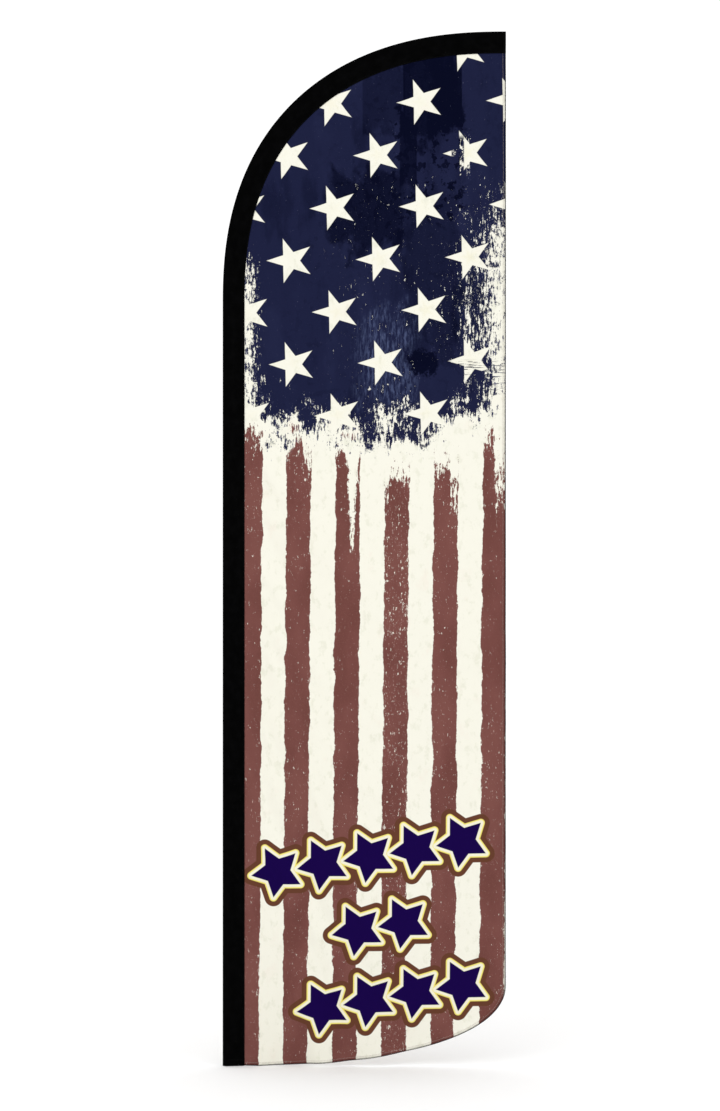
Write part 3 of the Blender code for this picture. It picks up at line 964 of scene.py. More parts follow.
class PoleEdge:
    """The flag's outer edge along the pole: straight up from the mouth, then over the arc."""

    STEPS = 4000

    def __init__(self) -> None:
        """Tabulates the edge and its inward normals by distance from the mouth."""
        right, up, slope_x, slope_z = superellipse_quarter(ARC_EXPONENT, self.STEPS)
        x = HOIST_X + FLAG_WIDTH * right
        z = SPRING_Z + ARC_HEIGHT * up
        run = SPRING_Z + np.concatenate([[0.0], np.cumsum(np.hypot(np.diff(x), np.diff(z)))])
        nx = slope_x / FLAG_WIDTH
        nz = -slope_z / ARC_HEIGHT
        size = np.hypot(nx, nz)
        self.x = np.concatenate([[HOIST_X], x])
        self.z = np.concatenate([[0.0], z])
        self.run = np.concatenate([[0.0], run])
        self.nx = np.concatenate([[1.0], nx / size])
        self.nz = np.concatenate([[0.0], nz / size])
        self.length = float(run[-1])

    def inset(self, run: np.ndarray | float, depth: np.ndarray | float) -> tuple[np.ndarray, np.ndarray]:
        """The points this deep inside the edge, as x and z."""
        nx = np.interp(run, self.run, self.nx)
        nz = np.interp(run, self.run, self.nz)
        x = np.interp(run, self.run, self.x) + nx * depth
        z = np.interp(run, self.run, self.z) + nz * depth
        return x, z


EDGE = PoleEdge()


def taper(run: np.ndarray | float) -> np.ndarray | float:
    """The radius of the sleeve's round part: wide round the tubes, narrow round the rods."""
    wide, narrow, start, length = 0.0124, 0.0079, 2.0098, 0.4
    share = np.clip((run - start) / length, 0.0, 1.0)
    return wide + (narrow - wide) * share * share * (3 - 2 * share)


def foot_curve(steps: int, depth: float = 0.0) -> np.ndarray:
    """Points (x, z) along the curved bottom edge from the seam to the fly, this deep inside it."""
    right, up, slope_x, slope_z = superellipse_quarter(FOOT_EXPONENT, steps)
    span = FLY_X - SEAM_X
    # leaving upwards on the quarter is leaving sideways here
    x = SEAM_X + span * up
    z = FOOT_RISE * right
    inward_x = -slope_z / span
    inward_z = slope_x / FOOT_RISE
    size = np.hypot(inward_x, inward_z)
    return np.column_stack([x + inward_x / size * depth, z + inward_z / size * depth])


# --------------------------------------------------------------------------------------------
# Geometry Nodes


class Growth(Graph):
    """A Geometry Nodes tree with named inputs, run once on an object to give a plain mesh."""

    def __init__(self, name: str, inputs: dict[str, tuple[str, Any]]) -> None:
        """Starts a tree.

        Args:
            name: the tree's name.
            inputs: each input's name, with its socket type and default.
        """
        tree = bpy.data.node_groups.new(name, "GeometryNodeTree")
        super().__init__(tree)
        tree.interface.new_socket("Geometry", in_out="INPUT", socket_type="NodeSocketGeometry")
        for label, (kind, default) in inputs.items():
            made = tree.interface.new_socket(label, in_out="INPUT", socket_type=kind)
            if default is not None:
                made.default_value = default
        tree.interface.new_socket("Geometry", in_out="OUTPUT", socket_type="NodeSocketGeometry")
        self.start = tree.nodes.new("NodeGroupInput")
        self.end = tree.nodes.new("NodeGroupOutput")

    def given(self, label: str) -> bpy.types.NodeSocket:
        """An input's socket inside the tree."""
        return self.start.outputs[label]

    def close(self, geometry: bpy.types.NodeSocket, material: bpy.types.Material) -> None:
        """Ends the tree in Realize Instances and Set Material."""
        real = self.node("GeometryNodeRealizeInstances", None, {0: geometry})
        dressed = self.node("GeometryNodeSetMaterial", None, {0: real.outputs[0], "Material": material})
        self.tree.links.new(dressed.outputs[0], self.end.inputs[0])

    def grow(self, name: str, seed: bpy.types.Mesh, values: dict[str, Any]) -> bpy.types.Object:
        """Runs the tree on a mesh.

        Args:
            name: the new object's name.
            seed: the mesh that the tree starts from.
            values: input name to value, set by the sockets' identifiers.

        Returns:
            An object with the plain mesh that came out.
        """
        carrier = add_object(name, seed)
        modifier = carrier.modifiers.new("growth", "NODES")
        modifier.node_group = self.tree
        for item in self.tree.interface.items_tree:
            if item.item_type == "SOCKET" and item.in_out == "INPUT" and item.name in values:
                modifier[item.identifier] = values[item.name]
        return finished(carrier)


def capsule(radius: float, length: float, sides: int = 5) -> bpy.types.Mesh:
    """A small closed bead along X, its ends rounded off, for one stitch."""
    rings = ((-0.5, 0.45), (-0.28, 1.0), (0.28, 1.0), (0.5, 0.45))
    turns = [math.tau * k / sides for k in range(sides)]
    shape = bmesh.new()
    loops = []
    for place, share in rings:
        ring = [(radius * share * math.cos(turn), radius * share * math.sin(turn)) for turn in turns]
        loops.append([shape.verts.new((place * length, y, z)) for y, z in ring])
    for near, far in zip(loops, loops[1:]):
        for k in range(sides):
            shape.faces.new((near[k], near[(k + 1) % sides], far[(k + 1) % sides], far[k]))
    shape.faces.new(loops[0])
    shape.faces.new(loops[-1])
    bmesh.ops.recalc_face_normals(shape, faces=shape.faces)
    mesh = bpy.data.meshes.new("stitch_bead")
    shape.to_mesh(mesh)
    shape.free()
    return mesh


@dataclass
class Stitcher:
    """Rows of sewn stitches that follow lines on the cloth."""

    pitch: float = 0.0050
    length: float = 0.0036
    radius: float = 0.00042
    bead: bpy.types.Object | None = field(default=None, init=False)

    def sew(
        self, name: str, rows: Sequence[np.ndarray], material: bpy.types.Material
    ) -> bpy.types.Object:
        """Sews one stitch every pitch along each row.

        Args:
            name: the piece's name.
            rows: each row's points, on the surface of the cloth.
            material: the thread.

        Returns:
            The stitches as one mesh.
        """
        if self.bead is None:
            self.bead = add_object("stitch_bead", capsule(self.radius, self.length))
            self.bead.hide_render = True
        inputs = {"Pitch": ("NodeSocketFloat", self.pitch), "Bead": ("NodeSocketObject", None)}
        tree = Growth(name + "_rows", inputs)
        curve = tree.node("GeometryNodeMeshToCurve", None, {"Mesh": tree.given("Geometry")})
        even = tree.node(
            "GeometryNodeResampleCurve",
            {"mode": "LENGTH"},
            {"Curve": curve.outputs[0], "Length": tree.given("Pitch")},
        )
        tangent = tree.node("GeometryNodeInputTangent")
        aligned = tree.node(
            "FunctionNodeAlignRotationToVector", {"axis": "X"}, {"Vector": tangent.outputs[0]}
        )
        bead = tree.node("GeometryNodeObjectInfo", None, {"Object": tree.given("Bead")})
        placed = tree.node(
            "GeometryNodeInstanceOnPoints",
            None,
            {
                "Points": even.outputs[0],
                "Instance": bead.outputs["Geometry"],
                "Rotation": aligned.outputs[0],
            },
        )
        tree.close(placed.outputs[0], material)
        return tree.grow(name, lines_mesh(name, rows), {"Pitch": self.pitch, "Bead": self.bead})

    def done(self) -> None:
        """Removes the bead that the rows were sewn from."""
        if self.bead is not None:
            bpy.data.objects.remove(self.bead)
            self.bead = None


# --------------------------------------------------------------------------------------------
# The printed cloth


@dataclass
class PrintedPanel:
    """The printed cloth: cut to the outline, hung from its seam with a little slack, and thickened."""

    cell: float = 0.014
    thickness: float = 0.0007
    frames: int = 30
    slack: float = 0.010
    most_out: float = 0.0125
    most_along: float = 0.0030
    edge_inset: float = 0.0008
    mouth_clear: float = 0.0006
    arc_steps: int = 112
    foot_steps: int = 84
    ripple: float = 0.0025  # the slight waves that the cloth starts with
    ease: float = 0.05  # how wide the stretch beside the seam is where the cloth comes free

    points: np.ndarray = field(default=None, init=False)
    hung: np.ndarray = field(default=None, init=False)
    triangles: np.ndarray = field(default=None, init=False)

    def outline(self) -> np.ndarray:
        """The cut's outline as (x, z): up the seam, over the arc, down the fly, back along the foot."""
        straight = np.arange(self.mouth_clear, SPRING_Z, self.cell)
        runs = np.concatenate([straight, np.linspace(SPRING_Z, EDGE.length, self.arc_steps)])
        x, z = EDGE.inset(runs, SLEEVE_WIDTH - SEAM_LAP)
        keep = x < FLY_X - self.edge_inset
        seam = np.column_stack([x, z])[keep]
        fly_x = FLY_X - self.edge_inset
        top = float(seam[-1, 1])
        count = int((top - FOOT_RISE) / self.cell)
        fly = np.column_stack([np.full(count, fly_x), np.linspace(top, FOOT_RISE, count)])
        foot = foot_curve(self.foot_steps, self.edge_inset)[::-1][1:-1]
        foot[:, 0] = np.minimum(foot[:, 0], fly_x)
        return np.concatenate([seam, fly, foot, [[SEAM_X, self.edge_inset]]])

    def cut_cloth(self) -> None:
        """Triangulates the cut, with even triangles inside."""
        edge = self.outline()
        step_x, step_z = self.cell, self.cell * math.sqrt(3) / 2
        inside = []
        rows = np.arange(0.004, FLAG_HEIGHT, step_z)
        closed = np.concatenate([edge, edge[:1]])
        for number, z in enumerate(rows):
            crossings = []
            for (x0, z0), (x1, z1) in zip(closed[:-1], closed[1:]):
                if (z0 <= z) != (z1 <= z):
                    crossings.append(x0 + (x1 - x0) * (z - z0) / (z1 - z0))
            crossings.sort()
            for low, high in zip(crossings[::2], crossings[1::2]):
                xs = np.arange(HOIST_X + step_x * (number % 2) / 2, high - 0.6 * self.cell, step_x)
                inside += [(x, z) for x in xs if x > low + 0.6 * self.cell]
        inner = np.array(inside)
        near = np.array([np.hypot(*(edge - p).T).min() for p in inner])
        inner = inner[near > 0.55 * self.cell]
        every = np.concatenate([edge, inner])
        loop = [(k, (k + 1) % len(edge)) for k in range(len(edge))]
        around = [list(range(len(edge)))]
        points, _, faces, *_ = delaunay_2d_cdt([Vector(p) for p in every], loop, around, 1, 1e-6)
        flat = np.array([tuple(p) for p in points])
        self.points = np.column_stack([flat[:, 0], np.zeros(len(flat)), flat[:, 1]])
        corners = np.array([f for f in faces if len(f) == 3])
        a, b, c = (self.points[corners[:, k]] for k in range(3))
        facing = np.cross(b - a, c - a)[:, 1]
        corners[facing > 0] = corners[facing > 0][:, ::-1]
        self.triangles = corners

    def depth(self) -> np.ndarray:
        """Each point's distance inside the pole edge, as good as needed near the seam."""
        runs = np.linspace(0.0, EDGE.length, 1600)
        x, z = EDGE.inset(runs, 0.0)
        return np.array([np.hypot(x - p[0], z - p[2]).min() for p in self.points])

    def hang(self) -> None:
        """Lets the cloth settle with a little slack, then caps how far each point has moved."""
        depth = self.depth()
        soft = np.clip((depth - SLEEVE_WIDTH - 0.002) / self.ease, 0.0, 1.0)
        seed = np.array([noise.noise(Vector((p[0] * 5, 3.0, p[2] * 1.7))) for p in self.points])
        start = self.points.copy()
        start[:, 1] += self.ripple * seed * soft
        mesh = mesh_from("hanging_cloth", start, self.triangles)
        obj = add_object("hanging_cloth", mesh)
        pins = obj.vertex_groups.new(name="sewn")
        pins.add([int(k) for k in np.flatnonzero(depth < SLEEVE_WIDTH + 0.003)], 1.0, "REPLACE")
        cloth = obj.modifiers.new("cloth", "CLOTH")
        fabric = {
            "quality": 5,
            "mass": 0.02,
            "tension_stiffness": 20.0,
            "compression_stiffness": 12.0,
            "shear_stiffness": 8.0,
            "bending_stiffness": 1.5,
            "air_damping": 2.0,
            "vertex_group_mass": "sewn",
            "pin_stiffness": 1.0,
            "shrink_min": -self.slack,
            "shrink_max": -self.slack,
        }
        for name, value in fabric.items():
            setattr(cloth.settings, name, value)
        cloth.settings.effector_weights.gravity = 0.35
        cloth.collision_settings.use_collision = False
        cloth.point_cache.frame_start = 1
        cloth.point_cache.frame_end = self.frames
        scene = bpy.context.scene
        for number in range(1, self.frames + 1):
            scene.frame_set(number)
        graph = bpy.context.evaluated_depsgraph_get()
        settled = bpy.data.meshes.new_from_object(obj.evaluated_get(graph))
        shift = points_of(settled) - self.points
        scene.frame_set(1)
        bpy.data.objects.remove(obj)
        log.info("  cloth moved up to %.1f mm out and %.1f mm along", *self._report(shift))
        shift[:, 1] = self.most_out * np.tanh(shift[:, 1] / self.most_out)
        along = np.hypot(shift[:, 0], shift[:, 2])
        held = self.most_along * np.tanh(along / self.most_along) / np.maximum(along, 1e-9)
        rim = np.clip((FLY_X - self.points[:, 0]) / 0.02, 0.25, 1.0)
        shift[:, 0] *= held * soft * rim
        shift[:, 2] *= held * soft
        shift[:, 1] *= soft
        self.hung = self.points + shift

    @staticmethod
    def _report(shift: np.ndarray) -> tuple[float, float]:
        """The furthest moves out of and along the flag, in millimetres."""
        out = np.abs(shift[:, 1])
        along = np.hypot(shift[:, 0], shift[:, 2])
        return float(out.max() * 1000), float(along.max() * 1000)

    def build(self, material: bpy.types.Material) -> bpy.types.Object:
        """Makes the printed panel.

        Args:
            material: the print.

        Returns:
            The finished piece.
        """
        self.cut_cloth()
        self.hang()
        mesh = mesh_from("printed_panel", self.hung, self.triangles)
        write_cut(mesh, self.points[:, [0, 2]] - (HOIST_X, 0.0))
        panel = add_object("printed_panel", mesh, material)
        thicken(panel, self.thickness)
        mark_reverse(panel)
        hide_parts("panel_hoist_side", "panel_fly_side")
        return panel


def mark_reverse(obj: bpy.types.Object) -> None:
    """Marks the points of a thickened cloth that lie on its back, for the faded print there."""
    mesh = obj.data
    normals = np.empty(len(mesh.vertices) * 3, np.float32)
    mesh.vertices.foreach_get("normal", normals)
    write_value(mesh, "reverse", normals.reshape(-1, 3)[:, 1] > 0)


class HungSurface:
    """Finds where a spot of the flat cut lies on the hanging cloth."""

    def __init__(self, panel: PrintedPanel) -> None:
        """Indexes the panel's flat triangles."""
        self.panel = panel
        flat = [Vector(p) for p in panel.points]
        self.tree = BVHTree.FromPolygons(flat, [tuple(map(int, t)) for t in panel.triangles])

    def at(self, x: float, z: float, out: float = 0.0) -> Vector:
        """The hanging place of the flat spot (x, z), lifted off the cloth towards +Y by out.

        Args:
            x: across the flag.
            z: up the flag.
            out: how far off the middle of the cloth, towards its back.

        Returns:
            The point. Outside the cut it keeps its distance from the nearest edge.
        """
        spot, _, index, _ = self.tree.find_nearest(Vector((x, 0.0, z)))
        corners = self.panel.triangles[index]
        a, b, c = (self.panel.points[k] for k in corners)
        ab, ac, ap = b - a, c - a, np.array(spot) - a
        whole = ab[0] * ac[2] - ab[2] * ac[0]
        wb = (ap[0] * ac[2] - ap[2] * ac[0]) / whole
        wc = (ab[0] * ap[2] - ab[2] * ap[0]) / whole
        ha, hb, hc = (self.panel.hung[k] for k in corners)
        place = Vector(ha * (1 - wb - wc) + hb * wb + hc * wc)
        normal = Vector(np.cross(hb - ha, hc - ha)).normalized()
        if normal.y < 0:
            normal = -normal
        beyond = Vector((x, 0.0, z)) - spot
        return place + beyond + normal * out


# --------------------------------------------------------------------------------------------
# Hems


@dataclass
class FoldedHem:
    """An edge of the cloth turned to the back, wrapped in overlock thread along its rim."""

    surface: HungSurface
    width: float = 0.0120
    wrap: float = 0.0065  # what the roll and the front lip take of the cloth
    cloth: float = 0.0003
    roll: float = 0.0009
    roll_half: float = 0.0006
    roll_steps: int = 4

    def strip(
        self, name: str, line: np.ndarray, inward: np.ndarray, material: bpy.types.Material
    ) -> bpy.types.Object:
        """Folds the edge along a line of the flat cut.

        Args:
            name: the piece's name.
            line: the rim's points (x, z).
            inward: the unit directions into the cloth.
            material: the print, which shows on the fold too.
        """
        # depth inside the rim, and height off the middle of the cloth
        lip = 0.0016
        profile = [(self.width, 0.0004), (self.width * 0.5, 0.00055), (lip, self.roll_half)]
        for turn in (math.pi * k / self.roll_steps for k in range(1, self.roll_steps)):
            profile.append((self.roll - self.roll * math.sin(turn), self.roll_half * math.cos(turn)))
        profile += [(lip, -self.roll_half), (0.0034, -0.00045)]
        points, cut = [], []
        for (x, z), (nx, nz) in zip(line, inward):
            for depth, out in profile:
                points.append(self.surface.at(x + nx * depth, z + nz * depth, out))
                cut.append((x + nx * depth - HOIST_X, z + nz * depth))
        faces = [face[:1] + face[:0:-1] for face in grid_faces(len(line), len(profile))]
        mesh = mesh_from(name, points, faces)
        write_cut(mesh, np.array(cut))
        made = add_object(name, mesh, material)
        thicken(made, self.cloth)
        mark_reverse(made)
        return made

    def row(self, line: np.ndarray, inward: np.ndarray, depth: float, out: float) -> np.ndarray:
        """A line of points at one depth on the front or back of the hem."""
        spots = [(x + nx * depth, z + nz * depth) for (x, z), (nx, nz) in zip(line, inward)]
        return np.array([self.surface.at(x, z, out) for x, z in spots])


def spaced(line: np.ndarray, step: float) -> np.ndarray:
    """A polyline's points, spaced evenly."""
    runs = np.concatenate([[0.0], np.cumsum(np.hypot(*np.diff(line, axis=0).T))])
    count = max(2, int(round(runs[-1] / step)) + 1)
    even = np.linspace(0.0, runs[-1], count)
    return np.column_stack([np.interp(even, runs, line[:, 0]), np.interp(even, runs, line[:, 1])])


def inward_of(line: np.ndarray) -> np.ndarray:
    """Unit directions to the left of a polyline."""
    along = np.gradient(line, axis=0)
    along /= np.linalg.norm(along, axis=1)[:, None]
    return np.column_stack([-along[:, 1], along[:, 0]])


@dataclass
class Hems:
    """The fly hem and the curved bottom hem, their stitches and their overlocked rims."""

    surface: HungSurface
    stitcher: Stitcher
    seam_clear: float = 0.0012
    loop_pitch: float = 0.0021
    loop_slant: float = 0.0009
    thread_radius: float = 0.00075
    foot_step: float = 0.009
    fly_step: float = 0.012
    row_depth: float = 0.0095
    row_outs: tuple[float, float] = (-0.0006, 0.0011)  # on the front and on the fold

    def lines(self) -> dict[str, np.ndarray]:
        """The rims of the two hems, each run so that the cloth lies on its left."""
        inset = self.surface.panel.edge_inset
        foot = foot_curve(220, inset)
        foot = foot[foot[:, 0] > SEAM_X + self.seam_clear]
        foot = np.concatenate([[(SEAM_X + self.seam_clear, inset)], foot])
        foot[:, 0] = np.minimum(foot[:, 0], FLY_X - inset)
        fly_x = FLY_X - inset
        top = FLAG_HEIGHT - SLEEVE_WIDTH - self.seam_clear
        fly = np.array([[fly_x, FOOT_RISE], [fly_x, top]])
        return {"bottom_hem": spaced(foot, self.foot_step), "fly_hem": spaced(fly, self.fly_step)}

    def build(
        self, cloth: bpy.types.Material, thread: bpy.types.Material, edging: bpy.types.Material
    ) -> list[bpy.types.Object]:
        """Makes both hems.

        Args:
            cloth: the print.
            thread: the thread of the stitch rows.
            edging: the thread of the overlocked rim.

        Returns:
            The pieces.
        """
        made = []
        folded = FoldedHem(self.surface)
        for node, line in self.lines().items():
            inward = inward_of(line)
            fold = folded.strip(node + "_fold", line, inward, cloth)
            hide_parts(node)
            rows = [folded.row(line, inward, self.row_depth, out) for out in self.row_outs]
            stitches = self.stitcher.sew(node + "_stitches", rows, thread)
            rim = self.overlock(node + "_overlock", line, edging)
            made += [fold, stitches, rim]
        return made

    def overlock(self, name: str, line: np.ndarray, material: bpy.types.Material) -> bpy.types.Object:
        """Winds loops of thread over the rim, from the front to the back."""
        # depth inside the rim, and height off the middle of the cloth
        front = [(0.0033, -0.00085), (0.0012, -0.00125), (-0.0003, -0.0006)]
        loop = [*front, (-0.0003, 0.0006), (0.0012, 0.00135), (0.0033, 0.0011)]
        fine = spaced(line, self.loop_pitch)
        loops = []
        for (x, z), (nx, nz) in zip(fine, inward_of(fine)):
            points = []
            for number, (depth, out) in enumerate(loop):
                slant = self.loop_slant * (number / (len(loop) - 1) - 0.5)
                spot = (x + nx * depth + nz * slant, z + nz * depth - nx * slant)
                points.append(self.surface.at(*spot, out))
            loops.append(points)
        inputs = {"Thread Radius": ("NodeSocketFloat", self.thread_radius), "Sides": ("NodeSocketInt", 4)}
        tree = Growth(name + "_winding", inputs)
        curve = tree.node("GeometryNodeMeshToCurve", None, {"Mesh": tree.given("Geometry")})
        ring = tree.node(
            "GeometryNodeCurvePrimitiveCircle",
            {"mode": "RADIUS"},
            {"Resolution": tree.given("Sides"), "Radius": tree.given("Thread Radius")},
        )
        wound = tree.node(
            "GeometryNodeCurveToMesh",
            None,
            {"Curve": curve.outputs[0], "Profile Curve": ring.outputs[0], "Fill Caps": True},
        )
        tree.close(wound.outputs[0], material)
        values = {"Thread Radius": self.thread_radius, "Sides": 4}
        return tree.grow(name, lines_mesh(name, loops), values)


# --------------------------------------------------------------------------------------------
# The pole sleeve


@dataclass
class FlagSleeve:
    """The black sleeve round the pole: a drop-shaped tube of cloth, sewn along its seam and end."""

    station: float = 0.008
    wall_points: int = 14
    arc_points: int = 17
    cloth: float = 0.0007
    seam_half: float = 0.00100
    hem_height: float = 0.025
    end_length: float = 0.011
    least_pinch: float = 0.17  # how thick the sewn end is, as a share of the open sleeve
    wrinkle: float = 0.0011
    lap_middle: float = 0.0040
    lap_half: float = 0.0045
    lap_rise: float = 0.00035  # how proud the seam's lap and the mouth's hem stand
    lap_rows: tuple[float, float] = (0.0022, 0.0066)  # how far in from the seam its rows lie
    row_step: float = 0.02
    row_end: float = 0.004
    mouth_row_drop: float = 0.0035
    end_rows: tuple[float, float] = (0.0028, 0.0065)  # how far from the sewn end its rows lie

    def section(self, run: float) -> list[tuple[float, float, float]]:
        """One section as (depth, side, slackness) from the front of the seam round to its back."""
        outer = float(taper(run))
        radius = outer - self.cloth / 2
        end = EDGE.length - run
        pinch = min(1.0, max(0.0, end / self.end_length))
        pinch = self.least_pinch + (1 - self.least_pinch) * math.sin(pinch * math.pi / 2)
        reach = math.hypot(SLEEVE_WIDTH - outer, self.seam_half)
        touch = math.atan2(self.seam_half, SLEEVE_WIDTH - outer) + math.acos(radius / reach)
        start = (SLEEVE_WIDTH, self.seam_half)
        tangent = (outer + radius * math.cos(touch), radius * math.sin(touch))
        section = []
        for k in range(self.wall_points):
            share = (k / self.wall_points) ** 1.15
            depth = start[0] + (tangent[0] - start[0]) * share
            side = start[1] + (tangent[1] - start[1]) * share
            # the lap of the seam stands a little proud of the wall
            off = abs(SLEEVE_WIDTH - depth - self.lap_middle)
            lap = self.lap_rise * max(0.0, 1 - off / self.lap_half)
            section.append((depth, side + lap, math.sin(math.pi * share) ** 0.8))
        for k in range(self.arc_points + 1):
            angle = touch + (math.tau - 2 * touch) * k / self.arc_points
            depth = outer + radius * math.cos(angle)
            section.append((depth, radius * math.sin(angle), 0.0))
        mirrored = [(depth, -side, slack) for depth, side, slack in section[: self.wall_points][::-1]]
        section += mirrored
        return [(depth, -side * pinch, slack) for depth, side, slack in section]

    def crease(self, run: float, depth: float, front: bool) -> float:
        """How far the cloth stands out from its smooth shape, always outwards."""
        side = 0.0 if front else 40.0
        broad = noise.noise(Vector((run * 9.0, depth * 10.0, side)))
        pucker = noise.noise(Vector((run * 26.0 + depth * 30.0, depth * 8.0, side + 9.0)))
        fine = noise.noise(Vector((run * 70.0, depth * 30.0, side + 17.0)))
        near_seam = max(0.0, 1 - (SLEEVE_WIDTH - depth) / 0.030)
        return self.wrinkle * (0.55 + 0.9 * broad + 0.55 * pucker * (0.6 + near_seam) + 0.2 * fine)

    def stations(self) -> np.ndarray:
        """Distances of the sections: even, with closer ones at the mouth's hem and the sewn end."""
        even = np.arange(0.0, EDGE.length - self.end_length - 0.002, self.station)
        hem = [0.0006, 0.0018, self.hem_height - 0.0012, self.hem_height - 0.0004, self.hem_height + 0.0004]
        end = EDGE.length - np.array([0.011, 0.009, 0.007, 0.005, 0.003, 0.0015, 0.0])
        runs = np.unique(np.round(np.concatenate([even, hem, end]), 5))
        return runs[np.concatenate([[True], np.diff(runs) > 0.0003])]

    def build(self, material: bpy.types.Material) -> bpy.types.Object:
        """Makes the sleeve.

        Args:
            material: the black cloth.

        Returns:
            The finished piece.
        """
        points, cut = [], []
        runs = self.stations()
        for run in runs:
            section = self.section(float(run))
            travelled = 0.0
            last = None
            for depth, side, slack in section:
                if last is not None:
                    travelled += math.hypot(depth - last[0], side - last[1])
                last = (depth, side)
                front = side < 0
                out = slack * self.crease(float(run), depth, front) * min(1.0, (EDGE.length - run) / 0.03)
                if run < self.hem_height:
                    out += self.lap_rise * min(1.0, (self.hem_height - run) / 0.0008)
                x, z = EDGE.inset(float(run), depth)
                points.append((float(x), side + math.copysign(out, side), float(z)))
                cut.append((travelled, float(run)))
        across = len(points) // len(runs)
        # a section runs from the front round the pole to the back, so the faces point outwards
        mesh = mesh_from("flag_sleeve", points, grid_faces(len(runs), across))
        write_cut(mesh, np.array(cut))
        sleeve = add_object("flag_sleeve", mesh, material)
        thicken(sleeve, self.cloth)
        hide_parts("pole_sleeve")
        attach(sleeve, Body.FLAG.value)
        return sleeve

    def seam_rows(self, face: Face) -> list[np.ndarray]:
        """Two rows along the seam, and two across the sewn end, on one face."""
        rows = []
        runs = np.arange(self.row_end, EDGE.length - self.row_end, self.row_step)
        for inside in self.lap_rows:
            x, z = EDGE.inset(runs, SLEEVE_WIDTH - inside)
            lift = self.seam_half + self.cloth / 2 + 0.00052
            ease = np.clip((EDGE.length - runs) / self.end_length, 0.0, 1.0)
            side = np.full(len(runs), face.value) * lift * (0.4 + 0.6 * ease)
            rows.append(np.column_stack([x, side, z]))
        for back in self.end_rows:
            run = EDGE.length - back
            wall = [(depth, abs(side)) for depth, side, _ in self.section(run) if side < 0][::-1]
            depth = np.linspace(0.0035, SLEEVE_WIDTH - 0.0035, 24)
            x, z = EDGE.inset(run, depth)
            side = np.interp(depth, *np.array(wall).T) + self.cloth / 2 + 0.0002
            rows.append(np.column_stack([x, face.value * side, z]))
        return rows

    def mouth_row(self) -> np.ndarray:
        """The row that holds the mouth's hem, all round."""
        run = self.hem_height - self.mouth_row_drop
        points = []
        for depth, side, slack in self.section(run):
            out = slack * self.crease(run, depth, side < 0) + self.lap_rise + self.cloth / 2 + 0.0001
            x, z = EDGE.inset(run, depth)
            centre = float(taper(run))
            nose = min(0.0, (depth - centre)) / centre * (self.cloth / 2)
            points.append((float(x) + nose, side + math.copysign(out, side), float(z)))
        return np.array(points)


# --------------------------------------------------------------------------------------------
# The pole set


@dataclass
class TurnedPiece:
    """A piece turned on the pole's axis from a profile with eased corners."""

    node: str
    body: Body
    slot: Slot
    profile: list[tuple[float, float]]
    ease: float = 0.0003
    sides: int = 72
    closed: bool = True

    def eased(self) -> list[tuple[float, float]]:
        """The profile with each corner cut twice, except those on the axis."""
        made = []
        count = len(self.profile)
        for k, (r, z) in enumerate(self.profile):
            if r < 1e-9 or (not self.closed and k in (0, count - 1)):
                made.append((r, z))
                continue
            before = Vector(self.profile[k - 1])
            here = Vector((r, z))
            after = Vector(self.profile[(k + 1) % count])
            to_before, to_after = before - here, after - here
            cut = min(self.ease, 0.3 * to_before.length, 0.3 * to_after.length)
            a = here + to_before.normalized() * cut
            b = here + to_after.normalized() * cut
            middle = (a + b) / 2 * 0.55 + here * 0.45
            made += [tuple(a), tuple(middle), tuple(b)]
        return made

    def build(self, material: bpy.types.Material) -> bpy.types.Object:
        """Turns the piece and puts it in its node's place.

        Args:
            material: its finish.

        Returns:
            The finished piece.
        """
        shape = bmesh.new()
        verts = [shape.verts.new((r, 0.0, z)) for r, z in self.eased()]
        pairs = list(zip(verts, verts[1:])) + ([(verts[-1], verts[0])] if self.closed else [])
        edges = [shape.edges.new(pair) for pair in pairs]
        bmesh.ops.spin(
            shape,
            geom=verts + edges,
            cent=(0.0, 0.0, 0.0),
            axis=(0.0, 0.0, 1.0),
            angle=math.tau,
            steps=self.sides,
            use_merge=True,
        )
        bmesh.ops.remove_doubles(shape, verts=shape.verts, dist=1e-6)
        bmesh.ops.recalc_face_normals(shape, faces=shape.faces)
        mesh = bpy.data.meshes.new(self.node + "_turned")
        shape.to_mesh(mesh)
        shape.free()
        mesh.shade_smooth()
        mesh.set_sharp_from_angle(angle=math.radians(40))
        made = add_object(self.node + "_turned", mesh, material)
        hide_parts(self.node)
        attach(made, self.body.value)
        return made


